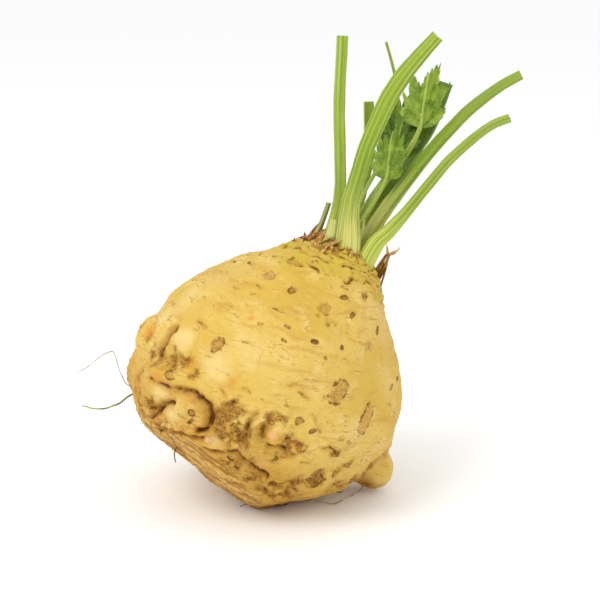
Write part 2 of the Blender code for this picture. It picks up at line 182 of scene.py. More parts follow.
def rise(low, high, x):
    """Nought below low, one above high, and an S-shaped climb between."""
    t = np.clip((x - low) / (high - low), 0, 1)
    return t * t * (3 - 2 * t)


RANDOM_TABLE = np.random.default_rng(7).random(4096) * 2 - 1


def field(p, seed=0):
    """Random values at whole-number places, blended smoothly in between; from -1 to 1."""
    i = np.floor(p).astype(np.int64)
    f = p - i
    f = f * f * (3 - 2 * f)
    total = np.zeros(len(p))
    for corner in range(8):
        o = np.array([corner & 1, corner >> 1 & 1, corner >> 2 & 1])
        c = i + o
        spot = (c[:, 0] * 73856093 ^ c[:, 1] * 19349663 ^ c[:, 2] * 83492791 ^ seed * 2654435761) & 4095
        total += RANDOM_TABLE[spot] * np.prod(np.where(o, f, 1 - f), axis=1)
    return total


def rough_field(p, layers, seed=0):
    """Several random fields added, each with half the size and half the height of the last."""
    return sum(field(p * 2**n, seed + 17 * n) / 2**n for n in range(layers))


print("a field's spread:", rough_field(np.random.default_rng(1).random((999, 3)) * 9, 3).std().round(3))

# %% [markdown]
# ## The body of the root
# The swollen root grew as one piece, so it is one mesh. It could be sculpted by hand or
# pushed out of a sphere with textures; here its skin is one number for every direction: the
# distance from the middle. That formula can say smooth cheek, knob, crease and scar in turn,
# and it can never cross itself. The grid of directions is a cube blown up to a ball, since
# it has no poles where the squares would bunch up.

# %% The grid of directions
SKIN_GRID = 127  # squares along each of the cube's edges


def ball_grid(n):
    """Directions and squares: six square sheets, evenly divided by angle, blown up to a ball."""
    t = np.tan(np.linspace(-np.pi / 4, np.pi / 4, n + 1))
    u, v = np.meshgrid(t, t, indexing="ij")
    sheets, squares = [], []
    for x, y in ((0, 1), (1, 2), (2, 0)):
        for sign in (1, -1):
            p = np.zeros(u.shape + (3,))
            p[..., x], p[..., y], p[..., 3 - x - y] = (u, v, sign) if sign > 0 else (v, u, sign)
            i = np.arange((n + 1) ** 2).reshape(n + 1, n + 1) + len(sheets) * (n + 1) ** 2
            sheets.append(p.reshape(-1, 3))
            squares.append(np.stack([i[:-1, :-1], i[1:, :-1], i[1:, 1:], i[:-1, 1:]], -1))
    p = unit(np.concatenate(sheets))
    _, first, back = np.unique(np.round(p, 6), axis=0, return_index=True, return_inverse=True)
    return p[first], back.reshape(-1)[np.concatenate(squares).reshape(-1, 4)]


skin_heading, skin_squares = ball_grid(SKIN_GRID)
BUSY_SIDE = heading(-5, 98)  # most of the knobs and folds lie around here
skin_heading = unit(skin_heading + 0.3 * BUSY_SIDE)  # so the squares crowd a little towards it
on_ball = 60 * skin_heading  # the same places on a ball of 60 mm, to measure along the skin
print("skin squares:", len(skin_squares))

# %% [markdown]
# ## Big shape: cheeks, knobs and feet
# The cheeks come from two outlines, left and right, blended around the axis. Knobs are balls
# half sunk in the flesh. The feet at the bottom are the stubs of roots that were cut off. On
# the lower left the knife took a flat slice, so the surface is also held behind a plane.

# %% Cheeks
CHEEK_LEFT = (73.5, 67.5, 59.0, 56.5, 56.6, 57.0, 57.6, 59.5, 61.5, 60.0, 54.5, 52.5, 53.0)
CHEEK_RIGHT = (73.5, 68.5, 62.0, 59.6, 60.0, 61.7, 63.2, 60.5, 58.5, 57.5, 57.5, 54.0, 53.0)


def cheeks(d):
    """Distance to the skin: each outline read by the angle down, blended left to right."""
    down = np.degrees(np.arccos(np.clip(d @ AXIS, -1, 1))) / 15
    side, front = d @ SIDE, d @ FRONT
    right = side / np.maximum(np.hypot(side, front), 1e-6)
    lef, rig = through(CHEEK_LEFT, down), through(CHEEK_RIGHT, down)
    waves = ((9, 4, 2, 0.3), (-5, 8, 3, 1.7), (3, -6, 9, 4.1), (-8, -5, 6, 2.6))
    swell = sum(np.sin(d @ np.array(w[:3]) + w[3]) for w in waves)
    return 0.5 * (lef + rig) + 0.5 * (rig - lef) * right + 0.35 * swell


# %% Knobs and feet
KNOBS = (  # around, down, how far out the ball sits, its size, how softly it joins
    (-59, 91, 44.5, 16.6, 1.0), (-53, 112, 45.5, 18.0, 0.8), (-31, 113, 42.5, 21.6, 0.8),
    (-88, 101, 47.5, 15.0, 1.2), (-97, 118, 47.0, 17.0, 1.6), (7, 99, 48.5, 13.4, 0.7),
    (42, 113, 47.0, 15.5, 1.4), (24, 106, 45.0, 16.8, 1.4), (118, 95, 44.0, 19.0, 2.0),
    (160, 104, 42.0, 22.0, 2.0), (-140, 100, 40.0, 23.5, 2.0), (-165, 122, 42.0, 21.0, 1.6),
    (128, 128, 45.0, 17.0, 1.6),
)
FEET = (((-17.2, -16.6, 6.2), 7.2, 2.0), ((24.0, 4.5, 22.0), 17.0, 3.0),
        ((33.4, 4.6, 11.0), 9.8, 3.4), ((-29.0, 22.0, 7.5), 8.0, 2.6))
SLICE_POINT, SLICE_FACING = np.array([-30.3, -40.0, 17.6]), unit([-0.60, -0.40, -0.69])


def ball(d, middle, size):
    """How far out a ball's far side lies along each direction; nought where it is missed."""
    along = d @ middle
    under = size**2 - middle @ middle + along**2
    return np.where((under > 0) & (along > 0), along + np.sqrt(np.maximum(under, 0)), 0)


reach = cheeks(skin_heading)
for around, down, out, size, blend in KNOBS:
    reach = outer(reach, ball(skin_heading, out * heading(around, down), size), blend)
for place, size, blend in FEET:
    reach = outer(reach, ball(skin_heading, np.array(place) - CENTRE, size), blend)
before_slice = reach.copy()
to_slice = ((SLICE_POINT - CENTRE) @ SLICE_FACING) / np.maximum(skin_heading @ SLICE_FACING, 1e-3)
reach = -outer(-reach, -to_slice, 1.2)
below_plane = (SLICE_POINT - CENTRE - skin_heading * reach[:, None]) @ SLICE_FACING
near_slice = 1 - rise(1.5, 5.5, below_plane)
sliced = np.maximum(rise(0.2, 1.2, before_slice - reach), near_slice)
print("skin from", reach.min().round(1), "to", reach.max().round(1), "mm from the middle")

# %% [markdown]
# ## Folds and lips
# Between the knobs the skin is pinched into deep brown folds, and in places it curls over
# them in a lip. A fold is a groove along a bent line: its depth falls away with the square
# of the distance, like a bell, and a low swelling runs along both of its sides. A lip is the
# same bell turned outwards.



# %% Bent lines
def bell(distance, width):
    """One on the line, falling away to nothing a few widths off."""
    return np.exp(-((distance / width) ** 2))


wander = 0.8 * np.stack([rough_field(on_ball / 5, 3, 40 + k) for k in range(3)], 1)
bent_ball = on_ball + wander  # lines are measured here, so that no fold runs straight


def from_line(corners, ending=3.0):
    """Distance in millimetres from a bent line of headings, and how much of it is left there.

    The second number is one along the line and fades to nought over the last millimetres."""
    ends = [60 * heading(*c) for c in corners]
    best, at, run = np.full(len(bent_ball), 1e9), np.zeros(len(bent_ball)), 0.0
    for a, b in zip(ends[:-1], ends[1:]):
        length = np.linalg.norm(b - a)
        t = np.clip((bent_ball - a) @ (b - a) / length**2, 0, 1)
        away = np.linalg.norm(bent_ball - a - t[:, None] * (b - a), axis=1)
        at = np.where(away < best, run + t * length, at)
        best = np.minimum(best, away)
        run += length
    return best, rise(-0.4, ending, np.minimum(at, run - at))


# %% Folds and lips of this root
FOLDS = (  # depth, width, darkness, swelling beside it, then the line
    (2.4, 1.3, 0.9, 0.6, (-58, 83), (-56, 88), (-56, 92), (-58, 97), (-62, 102)),
    (1.6, 1.0, 0.7, 0.4, (-62, 104), (-66, 109), (-72, 114), (-71, 119), (-69, 124)),
    (1.6, 4.2, 0.0, 0.0, (-68, 103), (-55, 100), (-47, 98), (-41, 91)),
    (1.5, 0.9, 0.8, 0.4, (-56, 109), (-49, 108), (-43, 107), (-39, 105)),
    (2.8, 1.2, 0.9, 0.6, (-42, 107), (-37, 104), (-30, 102.5), (-24, 103)),
    (4.0, 1.4, 1.0, 0.8, (-28, 102.5), (-23, 103.5), (-20, 106.5), (-18.6, 110), (-19, 113.5),
     (-24, 116)),
    (2.4, 1.2, 0.9, 0.6, (-35, 109), (-39, 111), (-43, 115), (-46, 119), (-51, 125), (-55, 130)),
    (2.0, 0.9, 0.7, 0.5, (-52, 133), (-41, 127), (-33, 123), (-28, 120.5)),
    (3.2, 0.9, 1.1, 0.6, (-31, 121.5), (-26, 119.6), (-21, 118), (-16, 116.5)),
    (2.4, 0.8, 1.0, 0.5, (-19, 123), (-14, 121.3), (-10, 119.5), (-6, 117)),
    (2.2, 0.9, 0.9, 0.7, (-8, 117), (-3, 114.6), (0, 115.2), (4, 116.8), (9, 118.3), (13, 118.8),
     (17, 119), (19, 122)),
    (3.0, 1.7, 0.55, 0.4, (1, 95), (1.6, 99), (3, 103), (6, 105)),
    (2.4, 1.0, 0.9, 0.6, (5, 104), (8, 105), (11, 103), (14, 103.4), (18, 104), (22, 103)),
    (1.6, 1.1, 0.5, 0.4, (-3, 93), (-4, 98), (-4, 103), (-2, 108), (2, 111)),
    (4.2, 1.5, 1.3, 0.7, (92, 91), (78, 91), (70, 92.5), (66.5, 95.5), (69, 99.5), (77, 103), (86, 108)),
    (1.0, 0.8, 0.7, 0.3, (27, 97), (30, 93.6), (34, 94), (37, 96)),
    (0.8, 0.7, 0.5, 0.3, (14, 85), (18, 86), (22, 89), (25, 92)),
    (0.8, 0.7, 0.5, 0.3, (22, 105.5), (25, 104.6), (30, 103)),
    (0.8, 0.6, 0.8, 0.2, (5, 78.4), (9, 79.2), (14, 81)),
    (0.6, 0.6, 0.6, 0.2, (-25, 94.4), (-21, 96), (-16, 97.6)),
    (0.6, 0.6, 0.6, 0.2, (-16, 90.4), (-12, 89.4), (-8, 89)),
    (0.8, 0.7, 0.7, 0.3, (-52, 79), (-47, 77.4), (-42, 77.4)),
    (0.7, 0.6, 0.6, 0.2, (-64, 82), (-60, 81), (-55, 82.6)),
    (0.9, 0.7, 0.7, 0.3, (-15, 94), (-14, 98), (-16, 101)),
    (0.9, 0.6, 0.9, 0.3, (-4, 44.5), (-1, 45.5), (2, 47)),
    (2.6, 2.4, 0.4, 0.4, (100, 112), (118, 116), (135, 112), (150, 116)),
    (2.8, 1.6, 0.8, 0.5, (-104, 108), (-122, 112), (-140, 115), (-158, 110)),
    (2.4, 1.3, 0.8, 0.5, (168, 92), (172, 104), (163, 114), (150, 120)),
    (2.0, 1.2, 0.7, 0.4, (96, 92), (104, 99), (102, 108)),
    (2.0, 1.2, 0.8, 0.5, (-130, 96), (-138, 104), (-134, 112)),
    (1.8, 1.1, 0.8, 0.5, (112, 84), (126, 92), (140, 90)),
)
LIPS = (  # height, width, then the line
    (1.1, 1.3, (-66, 108), (-60, 106), (-52, 104.6), (-44, 101.5), (-40, 98)),
    (1.8, 0.9, (-28, 118), (-23, 116.6), (-19, 115), (-16.5, 113), (-13.5, 111), (-9, 107)),
    (1.1, 1.1, (-25, 121), (-20, 120.6), (-14, 118.8), (-6, 114.6)),
    (1.0, 0.9, (-19, 118), (-16, 117), (-12, 114)),
    (2.6, 1.35, (1, 92.4), (-1.6, 96), (-2.4, 100), (-1.4, 104), (1.4, 107.4), (5, 109), (9, 107.4)),
    (1.2, 1.1, (10, 100.5), (14, 101.2), (19, 101), (23, 99)),
    (1.0, 1.5, (-62, 82), (-64, 88), (-64, 95)),
    (0.9, 1.0, (-6, 119), (-2, 117), (3, 118.6)),
)
LEAF_LINES = (  # torn edges that old leaf bases left round the crown
    (-34, 22, -28, 19.8, -22, 20.4, -11, 19), (-3, 18.4, 3, 16.8, 9, 17.2, 22, 17.4),
    (-31, 25, -26, 25.6, -20, 25, -14, 27),
    (5, 22.4, 11, 23.8, 15, 23, 18, 20), (-28, 12, -18, 11.4, -10, 11, -4, 9.4),
    (11, 10.4, 16, 11, 22, 12.4, 27, 14),
    (30, 22, 36, 20, 44, 21, 50, 24), (-60, 24, -52, 21.6, -46, 22.6, -40, 21.4),
    (50, 15, 60, 17, 70, 16, 80, 18),
    (-84, 27, -76, 24, -68, 25, -62, 23), (60, 27, 68, 24.6, 80, 25, 90, 27),
    (96, 19, 110, 17, 124, 18, 136, 20),
    (100, 28, 112, 25.4, 126, 26, 134, 29), (140, 24, 152, 22, 164, 23, 176, 25),
    (-176, 18, -164, 20, -152, 19, -140, 21),
    (-150, 28, -140, 26, -128, 27, -118, 25), (-130, 18, -118, 20, -106, 19, -96, 21),
    (150, 30, 162, 31, 172, 29, 182, 31),
)
fold_mask, halo = np.zeros(len(reach)), np.zeros(len(reach))
for depth, width, dark, swelling, *corners in FOLDS:
    away, left = from_line(corners)
    reach += left * (swelling * bell(away - 2.1 * width, width) - depth * bell(away, width))
    fold_mask = np.maximum(fold_mask, dark * left * bell(away, 0.75 * width))
    halo = np.maximum(halo, dark * left * bell(away, 2.6 * width))
for height, width, *corners in LIPS:
    away, left = from_line(corners)
    reach += left * height * bell(away, width)
for line in LEAF_LINES:
    away, left = from_line(tuple(zip(line[::2], line[1::2])), 2.0)
    reach += left * (0.7 * bell(away - 1.5, 1.1) - 1.1 * bell(away, 0.8))
    fold_mask = np.maximum(fold_mask, 0.9 * left * bell(away, 0.6))
    halo = np.maximum(halo, 0.5 * left * bell(away, 1.6))
print("skin inside folds:", f"{(fold_mask > 0.5).mean():.1%}")

# %% [markdown]
# ## Rough ground
# Where side roots were torn away, the skin is a brown felt of short curled fibres. Each patch
# is a soft spot on the ball, and its edge is frayed by a random field. Where the mask is
# strong, a folded random field crumples the surface: the field's size without its sign has
# sharp valleys, like crushed paper. The mask is kept to colour the skin later.


# %% Soft spots
def spots(places):
    """The strongest of several soft round spots, each with its own width and strength."""
    best = np.zeros(len(reach))
    for around, down, width, strength in places:
        away = np.linalg.norm(bent_ball - 60 * heading(around, down), axis=1)
        best = np.maximum(best, strength * bell(away, 1.25 * width))
    return best


ROUGH = (
    (-65, 102, 3.4, 0.9), (-57, 100, 3.4, 1.0), (-50, 99, 3.2, 1.0), (-45, 95, 2.8, 1.0),
    (-42, 91, 1.8, 0.8),
    (-52, 94, 2.2, 0.6), (-51, 119, 3.8, 1.0), (-45, 117, 2.4, 0.9), (-64, 125, 4.6, 1.0),
    (-48, 129, 2.8, 0.9),
    (-14, 105, 4.0, 1.1), (-14, 101, 3.4, 1.0), (-9, 106, 4.4, 1.1), (-9, 101, 4.0, 0.9),
    (-5, 102, 3.6, 0.8),
    (-3, 106, 2.6, 0.7), (-5, 110, 4.4, 1.0), (-9, 110, 3.4, 1.0), (-14, 96, 2.6, 0.6), (2, 94, 2.6, 0.9),
    (6, 93, 2.4, 0.8), (13, 100, 3.4, 0.8), (18, 99, 3.2, 0.9), (12, 109, 2.6, 0.9), (6, 113, 3.0, 0.9),
    (16, 107, 2.4, 0.5), (0, 121, 5.0, 0.8), (10, 123, 6.0, 0.6), (24, 126, 6.0, 0.75),
    (38, 126, 7.0, 0.75),
    (30, 116, 4.0, 0.55), (3, 79, 2.0, 0.9), (36, 95.5, 2.4, 0.8), (37, 110, 4.0, 0.9),
    (46, 104, 3.0, 0.6),
    (48, 98, 2.4, 0.55), (60, 112, 4.5, 0.8), (-30, 13, 3.0, 1.0), (-22, 13.5, 2.6, 0.9),
    (18, 11, 2.4, 0.9),
    (9, 46, 3.0, 0.45), (19, 45, 2.6, 0.35), (37, 47, 3.2, 0.55), (33, 26, 1.8, 0.6), (-88, 97, 3.2, 0.7),
    (-77, 98, 2.2, 0.8), (-72, 122, 5.0, 0.7), (120, 118, 9.0, 0.9), (150, 124, 12.0, 0.9),
    (-150, 118, 9.0, 0.9),
    (-120, 112, 6.0, 0.8), (180, 108, 7.0, 0.8), (90, 130, 8.0, 0.7), (-170, 140, 14.0, 0.8),
    (-100, 122, 7.0, 0.8),
    (140, 104, 5.0, 0.8), (-135, 100, 4.0, 0.8), (112, 98, 4.0, 0.7), (-160, 84, 3.0, 0.6),
    (68, 99, 2.8, 1.0),
    (73, 103, 2.8, 0.9), (66, 105, 3.2, 0.9), (80, 110, 3.0, 0.6), (-36, 96, 3.0, 0.6),
    (100, 70, 2.6, 0.5),
)
rough = np.clip(spots(ROUGH) * (0.8 + 0.9 * rough_field(on_ball / 3.0, 3, 3)), 0, 1)
crumple = np.abs(rough_field(bent_ball / 3.1, 2, 11)) + 0.5 * np.abs(rough_field(bent_ball / 1.5, 2, 12))
low_front = rise(99, 118, np.degrees(np.arccos(np.clip(skin_heading @ AXIS, -1, 1))))
reach += (rough + 0.25 * low_front) * (0.9 - 2.6 * crumple)
print("rough skin:", f"{(rough > 0.4).mean():.1%}")

# %% [markdown]
# ## Scars
# Every leaf and side root that fell off left a scar: a shallow oval pit with a thin dark rim.
# The large ones have places of their own. Many small ones are scattered by a seeded random
# generator, drawn out around the root as the skin stretched when it swelled.

# %% Scars with places of their own
SCARS = (  # around, down, half length, half width, turn, depth, darkness
    (-34, 81, 4.1, 3.0, 84, 0.9, 1.2), (-44, 41, 3.9, 2.6, -4, 0.7, 1.0),
    (-23, 41, 1.9, 1.8, 0, 1.0, 1.3),
    (-40, 29, 3.8, 1.9, 12, 0.7, 0.9), (2, 40, 4.0, 3.2, 55, 0.6, 0.9), (13, 30, 1.9, 1.2, 25, 0.7, 1.2),
    (22, 37, 2.0, 0.9, 66, 0.8, 1.1), (46, 39, 1.9, 0.8, 72, 0.7, 1.0), (3, 58, 1.6, 1.1, 25, 0.9, 1.5),
    (18, 54, 1.0, 0.9, 90, 0.8, 1.5), (11, 62, 0.9, 0.8, 0, 0.4, 0.8), (-10, 64, 1.3, 0.7, 0, 0.4, 1.0),
    (23, 72, 6.0, 4.1, 70, -0.6, 1.0), (43, 78, 7.2, 3.8, 76, -0.7, 1.0), (13, 90, 2.0, 1.9, 0, 0.9, 1.3),
    (20, 91, 1.5, 0.9, 60, 0.6, 1.0), (-46, 103, 2.3, 1.7, 0, 0.7, 1.0),
    (-27, 109, 1.5, 1.4, 0, 0.8, 1.1),
    (-26, 112.4, 1.5, 0.7, 70, 0.8, 1.1), (-39, 120, 1.7, 1.5, 0, 0.4, 0.7),
    (25, 85, 1.7, 1.5, 0, 0.3, 0.5),
    (33, 88, 1.3, 1.1, 0, 0.3, 0.6), (38, 89, 1.3, 0.8, 0, 0.3, 0.7), (37, 110, 3.8, 3.0, 10, 0.7, 0.9),
    (48, 99, 1.8, 1.4, 0, 0.4, 0.6), (-3, 119.4, 1.1, 0.9, 0, 0.8, 1.2), (-70, 41, 2.1, 0.6, 0, 0.5, 1.0),
    (-85, 46, 1.5, 0.6, 0, 0.4, 0.8), (-50, 56, 1.5, 0.7, 10, 0.4, 0.7),
    (-41, 48, 1.6, 0.6, 15, 0.4, 0.7),
    (-40, 53, 1.2, 1.2, 0, 0.4, 0.7), (-77, 54, 1.2, 0.7, 0, 0.3, 0.6), (-21, 53, 2.6, 0.5, 5, 0.4, 0.7),
    (-12, 58, 1.4, 0.6, 0, 0.4, 0.8), (-24, 63, 1.2, 0.8, 30, 0.4, 0.6), (75, 48, 1.1, 0.9, 0, 0.7, 1.2),
    (33, 26, 1.6, 0.8, 20, 0.4, 0.8), (-61, 31, 1.8, 0.7, 10, 0.4, 0.7), (60, 62, 1.6, 0.9, 60, 0.4, 0.8),
    (110, 60, 3.4, 2.4, 10, 0.7, 1.0), (140, 78, 4.4, 3.2, 70, -0.5, 1.0),
    (170, 50, 2.6, 1.8, 0, 0.7, 1.0),
    (-160, 70, 3.8, 2.8, 40, 0.6, 1.0), (-130, 55, 2.4, 1.6, 10, 0.6, 1.1),
    (-115, 84, 3.0, 2.2, 60, 0.6, 1.0),
    (85, 72, 2.2, 1.5, 20, 0.6, 1.1), (-175, 92, 3.0, 2.4, 0, 0.8, 1.1), (95, 46, 1.8, 1.0, 60, 0.5, 1.0),
    (-98, 64, 1.6, 1.0, 20, 0.5, 1.0), (130, 40, 2.0, 1.1, 10, 0.5, 0.9), (68, 58, 1.1, 0.8, 0, 0.5, 1.1),
    (-145, 36, 2.8, 1.6, 10, 0.6, 1.0), (155, 64, 1.2, 1.0, 0, 0.7, 1.3),
    (-105, 40, 1.7, 1.1, 0, 0.6, 1.1),
)
dice = np.random.default_rng(23)
SMALL_SCARS = tuple(
    (dice.uniform(-180, 180), dice.uniform(20, 118), dice.uniform(0.7, 2.2), dice.uniform(0.25, 0.45),
     dice.uniform(-18, 18), dice.uniform(0.1, 0.3), dice.uniform(0.1, 0.75) ** 1.5)
    for _ in range(190)
)


# %% Pits and rims
def scar_marks(scars):
    """Pit depth, rim and floor masks: an oval's own distance is one on its rim."""
    pit, rim, bed = (np.zeros(len(reach)) for _ in range(3))
    ragged = 1 + 0.22 * rough_field(on_ball / 1.7, 3, 71)
    broken = 0.75 + 0.7 * rough_field(on_ball / 2.4, 2, 72)
    for around, down, length, width, turn, depth, dark in scars:
        middle = 60 * heading(around, down)
        east = unit(np.cross(AXIS, middle))
        south = unit(np.cross(middle, east))
        step = on_ball - middle
        u, v, c, s = step @ east, step @ south, cos(radians(turn)), sin(radians(turn))
        q = np.hypot((u * c + v * s) / length, (v * c - u * s) / width) * ragged
        q = np.where(on_ball @ middle > 0, q, 9)
        soft = max(0.15, 0.36 / width)
        pit += depth * (1 - rise(0.6, 1.05, q)) - 0.35 * abs(depth) * bell(q - 1.15, soft)
        rim = np.maximum(rim, dark * bell(q - 0.92, soft) * (broken if width > 1.6 else 1))
        bed = np.maximum(bed, dark * (1 - rise(0.75, 1.0, q)))
    return pit, rim, bed


pit, rim, bed = scar_marks(SCARS + SMALL_SCARS)
reach -= pit
reach += 0.3 * bed * rough_field(on_ball / 1.1, 2, 5)
print("scars:", len(SCARS), "large and", len(SMALL_SCARS), "small")

# %% [markdown]
# ## Wrinkles, crown and slice
# As it swelled, the skin wrinkled in fine lines around the axis. The crown is ringed by the
# ridges of old leaf bases. The slice shows fibres that run along it. All three are random
# fields read on stretched coordinates: squeezed along one direction, they turn into lines.

# %% Fine surface
along_axis = on_ball @ AXIS
across = on_ball - along_axis[:, None] * AXIS
down_angle = np.degrees(np.arccos(np.clip(skin_heading @ AXIS, -1, 1)))
plain = (1 - rough) * (1 - np.clip(fold_mask, 0, 1))
lines = rough_field(np.column_stack([across @ SIDE / 9, across @ FRONT / 9, along_axis / 1.7]), 2, 31)
reach += 0.24 * plain * lines * rise(18, 40, down_angle)
reach += 0.6 * rough_field(on_ball / 11, 2, 51) + 0.12 * rough_field(on_ball / 2.4, 2, 57)

crown = 1 - rise(15, 36, down_angle + 7 * rough_field(on_ball / 8, 2, 61))
ring_steps = down_angle / 3.1 + 1.3 * rough_field(on_ball / 6, 2, 63)
rings = np.abs(ring_steps % 1 - 0.5) * 2
reach += crown * (1.0 * rings**2 - 0.3)
ring_dark = crown * rise(0.62, 0.95, 1 - rings) * rise(-0.25, 0.2, rough_field(on_ball / 4, 2, 66))

FIBRE = unit(np.array([0.84, 0.0, -0.55]))
fibre_way = unit(np.cross(SLICE_FACING, FIBRE))
on_slice = np.column_stack([bent_ball @ fibre_way / 1.1, bent_ball @ FIBRE / 12, np.zeros(len(reach))])
slice_lines = rough_field(on_slice, 2, 81)
reach += 0.6 * sliced * slice_lines
print("finest step between neighbours:", round(float(60 * np.pi / 2 / SKIN_GRID / 1.3), 2), "mm")


# %% [markdown]
# ## From numbers to a mesh
# Numpy arrays go into a mesh in one step with foreach_set. The masks go along as attributes,
# one number for each point, and the materials read them. The lowest part is pressed level,
# because the root lies on it.


# %% Mesh from arrays
def mesh_piece(name, points, faces, material, masks=None):
    """One object from points in millimetres, faces as rows of indices, and named masks."""
    faces = [np.asarray(f) for f in faces] if isinstance(faces, list) else [np.asarray(faces)]
    flat = np.concatenate([f.reshape(-1) for f in faces]).astype(np.int32)
    counts = np.concatenate([np.full(len(f), f.shape[1]) for f in faces])
    mesh = bpy.data.meshes.new(name)
    mesh.vertices.add(len(points))
    mesh.vertices.foreach_set("co", (np.asarray(points) * MM).astype(np.float32).ravel())
    mesh.loops.add(len(flat))
    mesh.loops.foreach_set("vertex_index", flat)
    mesh.polygons.add(len(counts))
    mesh.polygons.foreach_set("loop_start",
                              np.concatenate([[0], np.cumsum(counts)[:-1]]).astype(np.int32))
    mesh.polygons.foreach_set("use_smooth", np.ones(len(counts), bool))
    mesh.update(calc_edges=True)
    mesh.validate()
    for mask, values in (masks or {}).items():
        mesh.attributes.new(mask, "FLOAT", "POINT").data.foreach_set("value",
            np.asarray(values, np.float32))
    mesh.materials.append(material)
    obj = bpy.data.objects.new(name, mesh)
    bpy.context.scene.collection.objects.link(obj)
    return obj


skin_points = CENTRE + skin_heading * reach[:, None]
skin_points[:, 2] = np.maximum(skin_points[:, 2], 0)
tip_soil = bell(np.linalg.norm(skin_points - np.array([-17, -16, 3]), axis=1), 10)
nub_soil = 0.9 * bell(np.linalg.norm(skin_points - np.array([29, -4.5, 4]), axis=1), 4)
under_soil = (1 - rise(0, 26, skin_points[:, 2])) * rise(-0.2, 0.5, rough_field(on_ball / 6, 3, 91))
# Paler cream spots on the knob tops: a painted highlight, where the light falls on the knobs.
KNOB_PAINTED_HIGHLIGHT = ((-50, 87, 5.0, 1.0), (-46, 111, 4.6, 1.0), (-36, 114, 5.0, 0.9), (-29, 88, 7.0, 0.9),
        (-19, 76, 8.0, 0.6),
        (-72, 88, 6.0, 0.7), (-63, 105, 2.4, 0.6), (38, 84, 6.0, 0.6), (-70, 74, 9.0, 0.5),
        (-1, 96, 1.6, 0.9),
        (-13, 115.5, 2.6, 0.8), (-2, 112, 2.4, 0.7), (7, 97, 1.8, 0.7), (56, 60, 9.0, 0.5),
        (150, 80, 12, 0.6),
        (-130, 84, 12, 0.6), (100, 90, 8, 0.6), (-5, 70, 9, 0.4))
WARM = ((-40, 95, 2.8, 0.9), (-29, 63, 1.8, 0.8), (-78, 96, 3.4, 1.0), (-50, 106, 3.0, 0.7),
        (-19, 90, 1.6, 0.8),
        (-18, 86, 1.4, 0.7), (-20, 95, 4.0, 0.5), (8, 100, 3.4, 0.6), (17, 99, 3.0, 0.8),
        (-44, 69, 2.6, 0.5),
        (-31, 104, 2.2, 0.6), (-48, 128, 2.4, 0.9), (75, 50, 2.4, 0.7), (130, 90, 4.0, 0.7),
        (-140, 90, 4.0, 0.7))
PINK = ((-15, 116.3, 1.6, 1.0), (6, 99.6, 2.0, 0.8), (-50, 89.5, 1.6, 0.6), (12, 47, 2.6, 0.5),
        (37, 47, 2.4, 0.5))
skin_masks = {
    "fold": fold_mask, "halo": halo, "rough": rough, "rim": np.maximum(rim, ring_dark), "bed": bed,
    "crown": crown,
    "slice": sliced, "soil": np.clip(np.maximum(tip_soil, nub_soil) + 0.5 * under_soil, 0, 1),
    "low": low_front, "valley": (1 - rise(0.0, 0.3, crumple)) * np.clip(rough + 0.35 * low_front, 0, 1),
    # the "pale" mask carries the painted highlight on the knob tops
    "pale": spots(KNOB_PAINTED_HIGHLIGHT), "warm": spots(WARM), "pink": spots(PINK),
}
print("lowest point:", skin_points[:, 2].min(), "mm; points pressed level:",
      int((skin_points[:, 2] <= 0).sum()))

# %% [markdown]
# ## Material tools
# A material is a small net of nodes. These helpers add a node, mix two colours by a mask, and
# turn screen colours into the linear ones that the shader wants.


# %% Node helpers
def screen(r, g, b):
    """Linear colour from 0 to 255 screen values."""
    return tuple((c / 255) ** 2.2 for c in (r, g, b)) + (1.0,)


def new_material(name, roughness, **fixed):
    """A Principled material and its node tree; fixed values go on the shader itself."""
    material = bpy.data.materials.new(name)
    material.use_nodes = True
    shader = material.node_tree.nodes["Principled BSDF"]
    shader.inputs["Roughness"].default_value = roughness
    for socket, value in fixed.items():
        shader.inputs[socket.replace("_", " ")].default_value = value
    return material, material.node_tree, shader


def node(tree, kind, settings=None, **inputs):
    """Add a node, set its options, and feed its named inputs with links or values."""
    n = tree.nodes.new("ShaderNode" + kind)
    for option, value in (settings or {}).items():
        setattr(n, option, value)
    for socket, value in inputs.items():
        put(tree, n.inputs[socket.replace("_", " ")], value)
    return n


def put(tree, socket, value):
    """Link a socket to an input, or set the input's own value."""
    if isinstance(value, bpy.types.NodeSocket):
        tree.links.new(value, socket)
    else:
        socket.default_value = value


def mask(tree, name):
    """The number that the mesh carries under that name."""
    return node(tree, "Attribute", {"attribute_name": name}).outputs["Fac"]


def mix(tree, share, a, b, way="MIX"):
    """One colour over another, by a share from nought to one."""
    n = node(tree, "Mix", {"data_type": "RGBA", "blend_type": way})
    for place, value in ((0, share), (6, a), (7, b)):
        put(tree, n.inputs[place], value)
    return n.outputs[2]


def math(tree, way, a, b=0.0, clamp=False):
    """One sum of two numbers, one or both of them links."""
    n = node(tree, "Math", {"operation": way, "use_clamp": clamp})
    put(tree, n.inputs[0], a)
    put(tree, n.inputs[1], b)
    return n.outputs[0]


def climb(tree, value, low, high, to_low=0.0, to_high=1.0):
    """Stretch the range low to high over nought to one, smoothly, and hold it there."""
    n = node(tree, "MapRange", {"interpolation_type": "SMOOTHSTEP"}, Value=value, From_Min=low,
             From_Max=high,
             To_Min=to_low, To_Max=to_high)
    return n.outputs["Result"]


def clouds(tree, where, scale, detail=3.0, twist=0.0, rough=0.55):
    """A noise texture; scale is in repeats per metre."""
    n = node(tree, "TexNoise", None, Vector=where, Scale=scale, Detail=detail, Distortion=twist,
             Roughness=rough)
    return n.outputs["Fac"]


def stretched(tree, where, turn, size):
    """Coordinates turned first and squeezed after, so that a pattern on them runs in lines."""
    turned = node(tree, "Mapping", None, Vector=where, Rotation=turn).outputs["Vector"]
    return node(tree, "Mapping", None, Vector=turned, Scale=size).outputs["Vector"]
